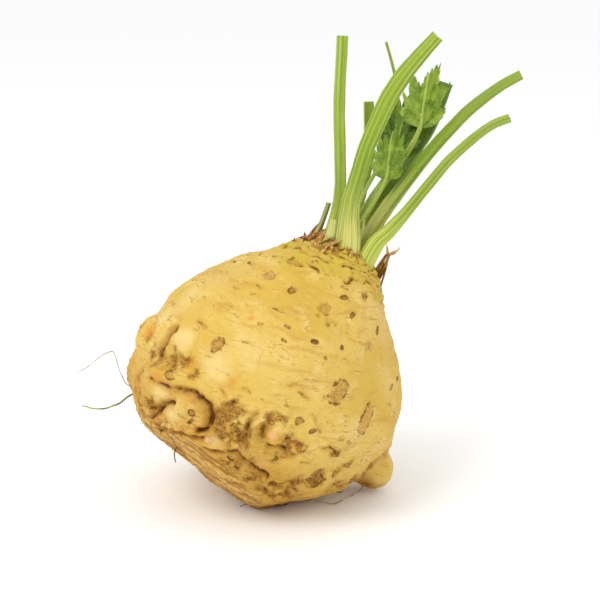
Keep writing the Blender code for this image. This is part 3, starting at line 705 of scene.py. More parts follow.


# %% [markdown]
# ## The skin's colours
# Fresh celeriac skin is pale gold, blotched with cream, and every crease and scar is brown.
# It could be painted by hand; a net of noises has no seams and shows detail at any
# distance. Broad clouds give the blotches, thin contour lines of a finer noise give the hair
# cracks, lines squeezed along the axis give the dashes around the root, and the masks put the
# brown where the shape has its folds. A paler cream on the knobs is a painted highlight.

# %% Skin material
AXIS_TURN = (0.123, -0.538, 0.0)  # radians that stand the root's long axis upright
RING_TURN = (0.06, -0.25, 0.0)  # about half of it, for the fine streaks round the skin
CUT_TURN = (0.0, -0.58, 0.0)  # lays the fibres of the cut face along X


def hairs(tree, where, scale, thin, twist=1.2):
    """Thin wandering lines: the places where a twisted noise passes through its middle value."""
    wave = clouds(tree, where, scale, 3, twist, 0.6)
    return climb(tree, math(tree, "ABSOLUTE", math(tree, "SUBTRACT", wave, 0.5)), 0.0, thin, 1.0, 0.0)


def over(tree, colour, share, top, strength=1.0):
    """Lay a colour over another where the share is high."""
    return mix(tree, math(tree, "MULTIPLY", share, strength, True), colour, top)


def skin_material():
    """Gold and cream clouds, brown dashes and hairs, then one mask after the other on top."""
    material, tree, shader = new_material("celeriac_skin", 0.62, Specular_IOR_Level=0.2)
    place = node(tree, "TexCoord").outputs["Object"]
    ringwise = stretched(tree, place, RING_TURN, (0.2, 0.2, 1.0))
    broad = clouds(tree, place, 26, 3)
    medium = clouds(tree, place, 85, 4, 0.6)
    small = clouds(tree, place, 230, 4, 0.8, 0.6)
    fine = clouds(tree, place, 620, 4, 0.6, 0.65)
    streak = clouds(tree, ringwise, 230, 4, 0.6, 0.6)
    dash = clouds(tree, ringwise, 560, 3, 0.9, 0.6)
    felt = hairs(tree, place, 330, 0.035, 2.4)

    colour = mix(tree, climb(tree, broad, 0.38, 0.60), screen(203, 167, 72), screen(211, 177, 90))
    colour = over(tree, colour, climb(tree, medium, 0.50, 0.70), screen(219, 188, 112), 0.8)
    colour = over(tree, colour, climb(tree, small, 0.56, 0.74), screen(194, 152, 62), 0.55)
    colour = over(tree, colour, climb(tree, streak, 0.52, 0.70), screen(188, 144, 56), 0.6)
    colour = over(tree, colour, climb(tree, fine, 0.58, 0.76), screen(176, 134, 56), 0.35)
    colour = over(tree, colour, mask(tree, "low"), screen(192, 142, 56), 0.6)
    crown_tone = mix(tree, climb(tree, medium, 0.4, 0.6), screen(192, 162, 66), screen(194, 168, 52))
    colour = over(tree, colour, climb(tree, mask(tree, "crown"), 0.1, 0.9), crown_tone, 0.75)
    # Painted highlight: the "pale" mask lays a paler cream over the knob tops.
    colour = over(tree, colour, climb(tree, mask(tree, "pale"), 0.1, 1.0), screen(222, 194, 124), 0.85)
    colour = over(tree, colour, climb(tree, mask(tree, "warm"), 0.15, 0.9), screen(204, 134, 44), 0.7)
    colour = over(tree, colour, climb(tree, mask(tree, "pink"), 0.15, 0.9), screen(224, 176, 130), 0.8)

    across_cut = stretched(tree, place, CUT_TURN, (0.08, 1.0, 1.0))
    cut_lines = clouds(tree, across_cut, 560, 4, 0.5, 0.6)
    cut_tone = mix(tree, climb(tree, cut_lines, 0.42, 0.58), screen(148, 102, 44), screen(214, 174, 96))
    colour = over(tree, colour, climb(tree, mask(tree, "slice"), 0.2, 0.8), cut_tone, 0.85)

    dashes = math(tree, "MULTIPLY", climb(tree, dash, 0.62, 0.70), climb(tree, medium, 0.42, 0.6))
    colour = over(tree, colour, dashes, screen(140, 98, 38), 0.6)
    long_hairs = math(tree, "MULTIPLY", hairs(tree, place, 75, 0.006, 1.6),
                      climb(tree, broad, 0.42, 0.56))
    ring_hairs = math(tree, "MULTIPLY", hairs(tree, ringwise, 150, 0.012, 0.8),
                      climb(tree, medium, 0.46, 0.6))
    colour = over(tree, colour, long_hairs, screen(140, 98, 40), 0.6)
    colour = over(tree, colour, ring_hairs, screen(146, 104, 42), 0.55)

    colour = over(tree, colour, climb(tree, mask(tree, "halo"), 0.1, 0.9), screen(176, 122, 48), 0.55)
    felt_tone = mix(tree, climb(tree, small, 0.38, 0.62), screen(146, 94, 34), screen(198, 146, 62))
    colour = over(tree, colour, climb(tree, mask(tree, "rough"), 0.15, 0.7), felt_tone, 0.8)
    felt_lines = math(tree, "MULTIPLY", felt, climb(tree, mask(tree, "rough"), 0.12, 0.6))
    colour = over(tree, colour, felt_lines, screen(92, 56, 18), 0.85)
    colour = over(tree, colour, climb(tree, mask(tree, "valley"), 0.3, 0.95), screen(104, 64, 20), 0.6)
    soil = mix(tree, climb(tree, fine, 0.4, 0.6), screen(104, 62, 20), screen(186, 128, 44))
    colour = over(tree, colour, climb(tree, mask(tree, "soil"), 0.25, 0.9), soil, 0.85)

    bed_tone = mix(tree, climb(tree, small, 0.34, 0.54), screen(140, 96, 40), screen(196, 148, 74))
    colour = over(tree, colour, climb(tree, mask(tree, "bed"), 0.3, 1.3), bed_tone, 0.8)
    bed_lines = math(tree, "MULTIPLY", felt, climb(tree, mask(tree, "bed"), 0.3, 1.2))
    colour = over(tree, colour, bed_lines, screen(108, 70, 26), 0.8)
    ragged_rim = math(tree, "MULTIPLY", mask(tree, "rim"), climb(tree, small, 0.34, 0.56, 0.5, 1.2))
    colour = over(tree, colour, climb(tree, ragged_rim, 0.25, 0.9), screen(112, 72, 24), 0.88)
    ragged_fold = math(tree, "MULTIPLY", mask(tree, "fold"), climb(tree, small, 0.30, 0.6, 0.6, 1.25))
    colour = over(tree, colour, climb(tree, ragged_fold, 0.18, 0.8), screen(100, 58, 18), 0.92)
    put(tree, shader.inputs["Base Color"], colour)

    height = math(tree, "ADD", math(tree, "MULTIPLY", fine, 0.5), math(tree, "MULTIPLY", streak, 0.8))
    height = math(tree, "SUBTRACT", height, math(tree, "MULTIPLY", dashes, 0.4))
    height = math(tree, "SUBTRACT", height, math(tree, "MULTIPLY", felt_lines, 0.8))
    bump = node(tree, "Bump", None, Strength=0.7, Distance=0.0006, Height=height)
    put(tree, shader.inputs["Normal"], bump.outputs["Normal"])
    shine = math(tree, "ADD", math(tree, "MULTIPLY", mask(tree, "rough"), 0.2),
                 climb(tree, medium, 0.3, 0.7, 0.52, 0.66))
    put(tree, shader.inputs["Roughness"], shine)
    return material


skin = mesh_piece("root_skin", skin_points, skin_squares, skin_material(), skin_masks)
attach(skin, "root")
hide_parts("celeriac_root")
print("skin triangles:", 2 * len(skin.data.polygons))


# %% [markdown]
# ## Stalks
# A celeriac stalk is a thin celery stalk: a hollow on the side that faces the heart, and a
# rounded back with fine ribs. It could be a bevelled curve; a profile carried along a path
# gives the hollow and the ribs as well. The profile is worked out for all angles and all
# stations at once, and the path is a smooth curve through a few places.


# %% Profile carried along a path
def carried(path, stations, outward, outline):
    """Rings of points: path place, plus across times the side, plus outward times the back."""
    t = np.linspace(0, 1, stations)
    line = through(path, t * (len(path) - 1))
    ahead = unit(np.gradient(line, axis=0))
    out = np.asarray(outward, float)
    back = unit(out[None] - (ahead @ out)[:, None] * ahead)
    side = np.cross(ahead, back)
    a, o = outline(t)
    return line[:, None] + a[..., None] * side[:, None] + o[..., None] * back[:, None]


def closed_rows(rings, extra_end=True):
    """Points and faces of a closed skin over rings; the far end is dished like a cut."""
    n, m = rings.shape[:2]
    middle_a, middle_b = rings[0].mean(0), rings[-1].mean(0)
    ahead = unit(middle_b - rings[-2].mean(0))
    rows = [rings.reshape(-1, 3)]
    if extra_end:
        inset = middle_b + 0.86 * (rings[-1] - middle_b)
        rows += [inset, middle_b + 0.5 * (rings[-1] - middle_b) - 0.25 * ahead]
    total = n + (2 if extra_end else 0)
    points = np.concatenate(rows + [middle_a[None],
                                    (middle_b - (0.35 if extra_end else 0) * ahead)[None]])
    i = np.arange(total * m).reshape(total, m)
    j = np.roll(i, -1, axis=1)
    sides = np.stack([i[:-1], j[:-1], j[1:], i[1:]], -1).reshape(-1, 4)
    start, end = total * m, total * m + 1
    caps = np.concatenate([np.stack([j[0], i[0], np.full(m, start)], -1),
                           np.stack([i[-1], j[-1], np.full(m, end)], -1)])
    return points, [sides, caps], total


def stalk_outline(widths, depths, ribs, around=96):
    """Half width times sine, half depth times cosine, ribs on the back, a hollow in front."""
    def outline(t):
        """Side and height of every point round the section at the share t of the path."""
        turn = np.arange(around) * 2 * np.pi / around
        w = through(widths, t * (len(widths) - 1))[:, None] / 2
        h = through(depths, t * (len(depths) - 1))[:, None] / 2
        c, s = np.cos(turn)[None], np.sin(turn)[None]
        rib = rib_height(turn)[None] * ribs * rise(-0.2, 0.25, c)
        hollow = np.where(c < 0, 1 + 1.0 * c, 1.0)
        return w * s * (1 + rib), h * c * hollow * (1 + rib)
    return outline


def rib_height(turn):
    """Broad ribs plus half as much of a finer set, from -1 to 1 as the turn goes round."""
    broad = 2 * np.abs(np.cos(4.5 * turn + 0.35 * np.sin(2 * turn))) ** 0.7 - 1
    fine = 2 * np.abs(np.cos(10.5 * turn)) ** 0.8 - 1
    return 0.66 * broad + 0.34 * fine


# %% Stalk material
def stalk_material(name, low, middle, high, dark, light):
    """Colour by the height along the stalk, pale ribs, dark valleys, and long thin streaks."""
    material, tree, shader = new_material(name, 0.42, Specular_IOR_Level=0.4, Subsurface_Weight=0.06,
                                          Subsurface_Radius=(0.002, 0.003, 0.001))
    along, rib, end = mask(tree, "along"), mask(tree, "rib"), mask(tree, "end")
    round_it = node(tree, "CombineXYZ", None, X=mask(tree, "turn"),
                    Y=math(tree, "MULTIPLY", along, 0.12), Z=0.0).outputs[0]
    streak = clouds(tree, round_it, 15, 5, 0.2, 0.65)
    speck = clouds(tree, node(tree, "TexCoord").outputs["Object"], 700, 3, 0.3)
    colour = mix(tree, climb(tree, along, 0.1, 0.5), low, middle)
    colour = mix(tree, climb(tree, along, 0.5, 1.0), colour, high)
    colour = mix(tree, climb(tree, rib, -1.0, 0.3, 0.75, 0.0), colour, dark)
    colour = mix(tree, climb(tree, rib, 0.2, 0.9, 0.0, 0.42), colour, light)
    colour = mix(tree, climb(tree, streak, 0.45, 0.62, 0.0, 0.5), colour, dark)
    colour = mix(tree, climb(tree, streak, 0.44, 0.3, 0.0, 0.35), colour, light)
    colour = mix(tree, climb(tree, speck, 0.5, 0.7, 0.0, 0.2), colour, screen(170, 184, 80))
    cut = mix(tree, climb(tree, speck, 0.4, 0.6), screen(150, 168, 86), screen(196, 208, 140))
    colour = mix(tree, end, colour, cut)
    put(tree, shader.inputs["Base Color"], colour)
    height = math(tree, "ADD", math(tree, "MULTIPLY", streak, 0.8), math(tree, "MULTIPLY", speck, 0.3))
    bump = node(tree, "Bump", None, Strength=0.4, Distance=0.0003, Height=height)
    put(tree, shader.inputs["Normal"], bump.outputs["Normal"])
    put(tree, shader.inputs["Roughness"], climb(tree, streak, 0.3, 0.7, 0.36, 0.52))
    return material


PALE_BASE = screen(218, 210, 120)
GREEN = stalk_material("stalk_green", PALE_BASE, screen(126, 152, 22), screen(138, 160, 40),
                       screen(74, 104, 4),
                       screen(190, 206, 88))
SOFT_GREEN = stalk_material("stalk_soft_green", screen(196, 200, 82), screen(132, 156, 38),
                            screen(140, 160, 50),
                            screen(88, 116, 14), screen(184, 202, 92))
# A darker copy of the stalk greens: painted shade for the stub that stands behind the stalks.
STUB_SHADE_GREEN = stalk_material("stub_green", screen(166, 172, 62), screen(100, 126, 24), screen(96, 120, 30),
                            screen(50, 74, 6), screen(134, 156, 54))
PALE_GREEN = stalk_material("pale_stalk", screen(214, 206, 150), screen(196, 196, 116),
                            screen(176, 182, 90),
                            screen(158, 156, 66), screen(226, 224, 164))
GREY_GREEN = stalk_material("old_stub", screen(172, 158, 90), screen(158, 156, 92), screen(150, 152, 92),
                            screen(108, 102, 50), screen(188, 186, 120))

# %% Stalk shapes
STALKS = {  # finish, way the back faces, path, widths, depths
    "stalk_left": (SOFT_GREEN, (-0.9, -0.4, 0.1),
                   [on_crown(-8, -2, 64), on_crown(-8, -2, 70), (15.4, 9.6, 123.5), (17.2, 9.6, 131),
                    (18.6, 9, 140.5),
                    (18.6, 9, 154), (18.2, 9.5, 168), (18.1, 10, 181), (18.7, 12, 194),
                    (19.4, 14, 208.6)],
                   (8.6, 6.8, 6.2, 6.2, 6.2, 6.2), (7.4, 6.4, 6.2, 6.0)),
    "stalk_front": (GREEN, (-0.1, -1, 0.1),
                    [on_crown(-0.5, 8, 64), on_crown(-0.5, 8, 70), (21.6, -2.4, 125), (21.8, -4, 131.5),
                     (22.9, -7, 140.6),
                     (25.8, -10, 152), (28.8, -13, 163.2), (32.6, -15, 173), (38.0, -17, 185.3),
                     (43.8, -18.5, 194.7),
                     (49.5, -20, 202.1), (57.8, -22, 211.8)],
                    (11.8, 10.8, 8.4, 7.2, 7.0, 7.6, 6.8, 5.4), (9.0, 6.8, 6.2, 6.0, 5.6)),
    "stalk_right": (GREEN, (0.85, 0.1, -0.5),
                    [on_crown(5.5, -4, 62), on_crown(5.5, -4, 69), (31.0, 10.4, 122), (37.2, 10, 132),
                     (41.5, 9.5, 138),
                     (47.4, 9, 146), (53.8, 9, 154.4), (60.7, 9, 162.8), (67.2, 9, 169.9),
                     (73.3, 9, 176.3),
                     (80.7, 8.5, 182.5), (88.4, 7.5, 188.2), (96.8, 6.5, 193.0)],
                    (9.6, 8.6, 7.4, 7.2, 7.0, 6.4, 5.4), (10.6, 9.4, 8.0, 7.4, 6.6, 5.6)),
    "stalk_low_right": (SOFT_GREEN, (0.7, -0.5, -0.5),
                        [on_crown(9.6, 5.2, 59), on_crown(9.0, 5.2, 66), (33.0, 2.0, 118.2),
                         (39.2, 2.0, 124.2),
                         (44.5, 1.6, 130.0), (49.2, 1, 135.8), (54.4, 0, 142.6), (59.1, -1, 148.8),
                         (64.5, -2.5, 155.8),
                         (70.7, -4, 162.2), (77.0, -6, 168.1), (83.9, -7, 173.0), (90.8, -8, 175.8)],
                        (12.6, 9.8, 6.8, 5.8, 5.8, 5.4, 5.0), (12.4, 9.0, 6.4, 5.8, 5.4, 4.8)),
    # this stub stands behind the others; its darker finish is painted shade
    "stub_back_right": (STUB_SHADE_GREEN, (0.5, 0.85, -0.2),
                        [on_crown(4, -14, 58), on_crown(4, -14, 66), (32.5, 21.5, 123), (38.7, 23, 134),
                         (45, 26, 145.7),
                         (52.5, 29, 155.8), (59.6, 32, 167), (66.6, 35, 185.6)], (6.6, 6.6, 6.6, 6.6),
                         (5.6, 5.4, 5.4, 5.6)),
    "stub_back_left": (SOFT_GREEN, (-0.2, 1, 0),
                       [on_crown(-5, -15, 58), on_crown(-5, -15, 66), (24.6, 25.4, 126), (28.6, 28, 139),
                        (31.6, 30.5, 153.7), (31.8, 32, 165), (31.4, 33, 177.2)], (5.6, 5.6, 5.4, 4.6),
                        (5.0, 4.8, 4.6)),
    "thin_stalk": (SOFT_GREEN, (0, 1, 0),
                   [on_crown(-2, -8.5, 62), on_crown(-1, -8.5, 70), (33.5, 20.4, 134), (40.6, 25, 149),
                    (44.4, 27.5, 166),
                    (44.4, 28, 179), (42.6, 28.5, 191), (38.8, 29, 204.6)], (2.6, 2.2, 2.2, 1.6, 1.2),
                    (2.4, 2.0, 1.8, 1.2)),
    "sheath_front_left": (PALE_GREEN, (-0.6, -0.8, 0.1),
                          [on_crown(-9.5, 5.5, 62), on_crown(-9.5, 5.5, 69), (13.6, 0.6, 121.5),
                           (14.6, 0.6, 125),
                           (15.4, 0.8, 128.8)], (5.4, 4.8, 3.6), (3.6, 3.2, 2.2)),
    "stump_left": (GREY_GREEN, (-0.9, 0.3, 0.1),
                   [on_crown(-14, -6.5, 62), on_crown(-13.5, -6.5, 69), (10.8, 14.0, 126),
                    (13.4, 14.4, 133.6)],
                   (4.6, 4.2, 3.6), (3.8, 3.4, 3.0)),
    "pale_spike": (PALE_GREEN, (0.4, -1, 0),
                   [on_crown(5.2, 3.2, 66), on_crown(5.0, 3.2, 71), (27.6, 3.2, 121.6), (28.3, 2.6, 125),
                    (28.6, 2.2, 128.6)],
                   (2.2, 2.0, 1.0), (1.8, 1.4, 0.8)),
}


def make_stalk(name, finish, back, path, widths, depths):
    """One stalk from its path, with the masks that its finish reads."""
    stations = 140 if len(path) > 6 else 50
    rings = carried(path, stations, back, stalk_outline(widths, depths, 0.065))
    wobble = rough_field(rings.reshape(-1, 3) / 5, 2, len(name)).reshape(rings.shape[:2])
    middle = rings.mean(1, keepdims=True)
    rings = middle + (rings - middle) * (1 + 0.035 * wobble[..., None])
    points, faces, rows = closed_rows(rings)
    m = rings.shape[1]
    turn = np.arange(m) * 2 * np.pi / m
    along = np.append(np.repeat(np.minimum(np.arange(rows) / (stations - 1), 1), m), [0, 1])
    rib = np.append(np.tile(np.where(np.cos(turn) > 0, rib_height(turn), 0.0), rows), [0, 0])
    end = np.append(np.repeat(np.arange(rows) >= stations, m), [0, 1])
    circle = np.append(np.tile(np.sin(turn) * 0.5 + np.cos(turn) * 0.2, rows), [0, 0])
    piece = mesh_piece(name + "_green", points, faces, finish,
                       {"along": along, "rib": rib, "end": end, "turn": circle})
    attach(piece, "root")
    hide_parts(name)
    return piece


for name, shape in STALKS.items():
    stalk = make_stalk(name, *shape)
    print(name, "has", len(stalk.data.polygons), "faces")


# %% [markdown]
# ## Young leaves
# Three small leaves stand among the stalks. A leaf could be a flat card with holes; a
# real outline holds up from every side. The blade is a fan: every point is so far out from
# the foot of the leaf, at such an angle, and the outline says how far out the edge is at each
# angle. Teeth are a sharp wave added to that edge. The blade is folded along its midrib,
# waved towards its edge, and it has two faces a third of a millimetre apart.


# %% Leaf blade
def leaf_blade(foot, ahead, facing, angles, lengths, fold, wave, teeth, bend, seed, fan=181, out=26):
    """Points and faces of a thin toothed fan, with masks for its veins and its edge."""
    share = np.linspace(0, 1, fan)
    angle = np.radians(np.interp(share * (len(angles) - 1), np.arange(len(angles)), angles))
    edge = np.interp(share * (len(angles) - 1), np.arange(len(angles)), lengths)
    saw = np.abs((share * teeth) % 1 - 0.35)
    edge = edge * (1.03 - 0.16 * saw)
    s = np.linspace(0, 1, out)[:, None]
    x = s * edge * np.sin(angle)
    y = s * edge * np.cos(angle)
    spine = np.abs(x) * fold
    ripple = wave * s**2 * np.sin(share * 39 + seed) + 0.5 * wave * s * np.sin(share * 23 + 5 * s + seed)
    vein = bell(np.abs((share * (len(angles) - 1)) % 2 - 1)[None] - 0 * s, 0.25) * (1 - s)
    z = -spine + ripple - bend * y**2 + 0.25 * vein
    ahead = unit(ahead)
    facing = unit(np.asarray(facing, float) - (np.asarray(facing, float) @ ahead) * ahead)
    across_leaf = np.cross(ahead, facing)
    sheet = np.asarray(foot, float) + x[..., None] * across_leaf + y[..., None] * ahead + z[...,
        None] * facing
    half = 0.16 * (1 - s**6)[..., None] * facing
    top, under = sheet + half, sheet - half
    n = out * fan
    i = np.arange(n).reshape(out, fan)
    i[0] = 0
    k = i + n
    k[-1], k[0] = i[-1], n
    k[:, 0], k[:, -1] = i[:, 0], i[:, -1]
    k[0] = i[0]
    quads = lambda g: np.stack([g[:-1, :-1], g[1:, :-1], g[1:, 1:], g[:-1, 1:]], -1).reshape(-1, 4)
    points = np.concatenate([top.reshape(-1, 3), under.reshape(-1, 3)])
    faces = np.concatenate([quads(i), quads(k)[:, ::-1]])
    rim_mask = np.tile(np.repeat(s[:, 0], fan), 2)
    vein_mask = np.tile(vein.reshape(-1), 2)
    return points, faces, {"edge": rim_mask, "vein": vein_mask,
                           "mid": np.tile(bell(x / 0.7, 1).reshape(-1), 2)}


def leaf_material(name, light, dark):
    """Light green, darker between the veins, with a fine net and a soft shine."""
    material, tree, shader = new_material(name, 0.5, Specular_IOR_Level=0.35, Subsurface_Weight=0.1,
                                          Subsurface_Radius=(0.001, 0.002, 0.0005))
    place = node(tree, "TexCoord").outputs["Object"]
    blotch = clouds(tree, place, 160, 4, 0.6)
    net = node(tree, "TexVoronoi", {"feature": "DISTANCE_TO_EDGE"}, Vector=place,
               Scale=620).outputs["Distance"]
    colour = mix(tree, climb(tree, blotch, 0.38, 0.62), dark, light)
    colour = mix(tree, climb(tree, net, 0.0, 0.12, 0.4, 0.0), colour, light)
    colour = mix(tree, climb(tree, mask(tree, "mid"), 0.3, 1.0, 0.0, 0.8), colour, screen(168, 182, 88))
    colour = mix(tree, climb(tree, mask(tree, "vein"), 0.2, 0.8, 0.0, 0.5), colour, screen(158, 178, 74))
    put(tree, shader.inputs["Base Color"], colour)
    bump = node(tree, "Bump", None, Strength=0.5, Distance=0.0003,
                Height=math(tree, "ADD", climb(tree, net, 0.0, 0.2), blotch))
    put(tree, shader.inputs["Normal"], bump.outputs["Normal"])
    put(tree, shader.inputs["Roughness"], climb(tree, blotch, 0.3, 0.7, 0.42, 0.6))
    return material


LEAF_LIGHT = leaf_material("young_leaf_light", screen(142, 166, 56), screen(96, 124, 26))
# The darker finish is the same leaf green in painted shade, for the leaf that stands in shadow behind.
LEAF_PAINTED_SHADE = leaf_material("young_leaf_painted_shade", screen(96, 124, 30), screen(54, 82, 10))

# %% Leaf shapes
LEAVES = {  # finish, path of the stem, its widths, depths, blade
    "young_leaf_tall": (
        LEAF_LIGHT, (-0.3, -1, 0.2),
        [on_crown(0.2, -3.6, 66), on_crown(0.4, -3.6, 72), (27.6, 14.0, 126), (33.4, 16, 136),
         (40.0, 16.6, 145.8),
         (49.0, 17.0, 157.5), (54.0, 17.2, 167.7), (54.6, 17.3, 174)],
        (5.6, 5.4, 4.6, 3.2, 2.2, 1.6), (3.8, 3.4, 2.4, 1.8, 1.4, 1.0),
        dict(foot=(54.0, 17.0, 167.2), ahead=(0.12, 0.02, 1), facing=(-0.25, -1, 0.1),
             angles=(-80, -60, -45, -36, -30, -24, -18, -13, -8, -3, 3, 8, 11, 15, 20, 25, 29, 35, 45,
                     56, 75),
             lengths=(6, 13, 13, 19, 14, 23, 27, 22, 19, 24, 27, 30, 25, 20, 22, 24, 17, 13, 14, 11, 5),
             fold=0.3, wave=1.2, teeth=33, bend=0.004, seed=1.0)),
    "young_leaf_middle": (
        # darker finish: painted shade, as this leaf stands in shadow behind the others
        LEAF_PAINTED_SHADE, (-0.5, -0.9, 0.1),
        [on_crown(-4.6, 0.5, 66), on_crown(-4.2, 0.6, 72), (23.4, 8.5, 128), (29.0, 12.5, 139),
         (36.4, 20.6, 150),
         (43.0, 23.4, 157)],
        (2.4, 2.2, 2.0, 1.8), (1.8, 1.6, 1.4, 1.2),
        dict(foot=(43.4, 23.6, 157), ahead=(0.25, 0.05, 1), facing=(-0.2, -1, 0.2),
             angles=(-85, -60, -46, -36, -26, -16, -8, 0, 8, 15, 24, 32, 44, 58, 82),
             lengths=(8, 14, 12, 18, 15, 23, 20, 26, 21, 22, 15, 16, 11, 12, 7),
             fold=0.4, wave=1.3, teeth=21, bend=0.006, seed=2.6)),
    "young_leaf_low": (
        LEAF_LIGHT, (-0.35, -1, 0.1),
        [on_crown(0.6, 1.2, 66), on_crown(0.8, 1.2, 72), (28.2, 5.4, 128), (34.4, 5.6, 138),
         (38.3, 6.4, 146),
         (39.4, 7, 152)],
        (2.0, 1.9, 1.8, 1.4), (1.7, 1.6, 1.4, 1.0),
        dict(foot=(38.2, 6.4, 145.2), ahead=(0.1, 0.09, 1), facing=(-0.4, -1, 0.1),
             angles=(-75, -52, -42, -34, -27, -20, -14, -8, -2, 4, 9, 14, 20, 27, 36, 50, 72),
             lengths=(7, 13, 11, 17, 14, 21, 17, 21, 19, 26, 21, 22, 17, 16, 11, 9, 5),
             fold=0.42, wave=1.0, teeth=31, bend=0.003, seed=4.2)),
}


def make_leaf(name, finish, upper, path, widths, depths, blade):
    """A stem carried along its path, joined with the blade that it bears."""
    rings = carried(path, 70, upper, stalk_outline(widths, depths, 0.03, 20))
    stem_points, stem_faces, rows = closed_rows(rings, extra_end=False)
    blade_points, blade_faces, masks = leaf_blade(**blade)
    count = len(stem_points)
    points = np.concatenate([stem_points, blade_points])
    faces = [np.concatenate([stem_faces[0], blade_faces + count]), stem_faces[1]]
    stem_share = np.append(np.repeat(np.linspace(0, 1, rows), 20), [0, 1])
    masks = {k: np.concatenate([np.full(count, 0.0 if k == "edge" else 0.9 - 0.3 * (k == "vein")),
                                v]) for k, v in masks.items()}
    masks["stem"] = np.concatenate([1 - 0.6 * stem_share, np.zeros(len(blade_points))])
    piece = mesh_piece(name + "_green", points, faces, finish, masks)
    bm = bmesh.new()
    bm.from_mesh(piece.data)
    bmesh.ops.remove_doubles(bm, verts=bm.verts, dist=1e-7)
    bmesh.ops.dissolve_degenerate(bm, edges=bm.edges, dist=1e-7)
    bmesh.ops.delete(bm, geom=[v for v in bm.verts if not v.link_faces], context="VERTS")
    bm.to_mesh(piece.data)
    bm.free()
    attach(piece, "root")
    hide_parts(name)
    return piece


for name, shape in LEAVES.items():
    leaf = make_leaf(name, *shape)
    print(name, "has", len(leaf.data.polygons), "faces")

# %% [markdown]
# ## Dry scraps
# Round the crown old leaf bases have rotted to brown papery strips. Each is a thin bent strip
# that narrows to a torn point; a dozen or two at different leans make a bundle. The
# strips share one formula, and a seeded generator gives each its own bend and width.


# %% Dry material
def dry_material(name, light, dark):
    """Straw and brown in long streaks, with no shine."""
    material, tree, shader = new_material(name, 0.85, Specular_IOR_Level=0.15)
    place = node(tree, "TexCoord").outputs["Object"]
    grain = clouds(tree, stretched(tree, place, AXIS_TURN, (1.0, 1.0, 0.2)), 900, 3, 0.3)
    colour = mix(tree, climb(tree, grain, 0.38, 0.62), dark, light)
    colour = mix(tree, climb(tree, clouds(tree, place, 200, 2), 0.55, 0.7, 0, 0.6), colour, dark)
    put(tree, shader.inputs["Base Color"], colour)
    bump = node(tree, "Bump", None, Strength=0.7, Distance=0.0004, Height=grain)
    put(tree, shader.inputs["Normal"], bump.outputs["Normal"])
    put(tree, shader.inputs["Roughness"], climb(tree, grain, 0.3, 0.7, 0.75, 0.92))
    return material


STRAW = dry_material("dry_straw", screen(214, 176, 106), screen(142, 96, 44))
BROWN = dry_material("dry_brown", screen(176, 126, 70), screen(96, 62, 28))


# %% Strips in bundles
def strip(foot, tip, facing, width, sag):
    """One torn strip: a thin lens-shaped profile carried along a bent path."""
    foot, tip, facing = (np.asarray(v, float) for v in (foot, tip, facing))
    path = [foot, foot + 0.35 * (tip - foot) + 0.4 * sag, foot + 0.7 * (tip - foot) + sag, tip]

    def outline(t):
        """Side and height of every point round the section at the share t of the path."""
        turn = np.arange(8) * np.pi / 4
        w = width * through((1.0, 1.1, 0.8, 0.12), t * 3)[:, None] / 2
        return w * np.sin(turn), 0.22 * through((1.2, 1.0, 0.8, 0.3), t * 3)[:,
            None] * np.cos(turn) + 0.25 * np.abs(w * np.sin(turn))

    return closed_rows(carried(path, 14, facing, outline), extra_end=False)[:2]


def bundle(name, node_name, finish, strips):
    """Several strips as one piece that stands for a CAD node."""
    points, quads, tris, count = [], [], [], 0
    for one in strips:
        p, f = strip(*one)
        points.append(p)
        quads.append(f[0] + count)
        tris.append(f[1] + count)
        count += len(p)
    piece = mesh_piece(name, np.concatenate(points), [np.concatenate(quads), np.concatenate(tris)],
                       finish)
    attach(piece, "root")
    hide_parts(node_name)
    return piece


def skin_at(direction):
    """Height of the finished skin along one direction, from its nearest grid point."""
    return reach[np.argmax(skin_heading @ unit(direction))]


def scattered(around, spread_around, down, spread_down, count, length, width, lean, seed):
    """Feet on the skin near one heading; tips along the crown's axis with a random lean."""
    luck = np.random.default_rng(seed)
    strips = []
    for _ in range(count):
        d = heading(around + spread_around * luck.uniform(-1, 1),
                    down + spread_down * luck.uniform(-1, 1))
        foot = CENTRE + d * (skin_at(d) - 0.8)
        inward = -unit(d - (d @ AXIS) * AXIS)
        way = unit(AXIS * (1 - lean) + lean * inward + 0.25 * luck.normal(size=3))
        tip = foot + way * length * luck.uniform(0.55, 1.15)
        strips.append((foot, tip, d + 0.2 * luck.normal(size=3), width * luck.uniform(0.6, 1.3),
                       d * luck.uniform(-0.2, 0.9)))
    return strips


DRY = {  # finish, around, spread, down, spread, count, length, width, lean inwards, seed
    "dry_scrap_a": (STRAW, -62, 34, 15.5, 3.0, 22, 11.0, 2.4, 0.62, 101),
    "dry_scrap_b": (BROWN, -76, 26, 20.5, 3.0, 18, 10.0, 2.2, 0.72, 102),
    "dry_scrap_c": (BROWN, -108, 24, 16.0, 3.0, 15, 10.0, 2.2, 0.6, 103),
    "dry_scrap_d": (STRAW, -14, 32, 13.0, 1.5, 18, 4.6, 1.8, 0.55, 104),
    "dry_scrap_e": (BROWN, -155, 34, 17.0, 3.0, 18, 9.0, 2.2, 0.6, 105),
    "dry_tip_high": (STRAW, -74, 3, 21.5, 1.0, 3, 3.6, 0.9, 0.0, 107),
    "dry_tip_low": (STRAW, -78, 3, 36.0, 1.5, 3, 3.6, 0.9, 0.0, 108),
}
for name, (finish, *numbers) in DRY.items():
    scrap = bundle(name + "_strips", name, finish, scattered(*numbers))
    print(name, "has", len(scrap.data.polygons), "faces")

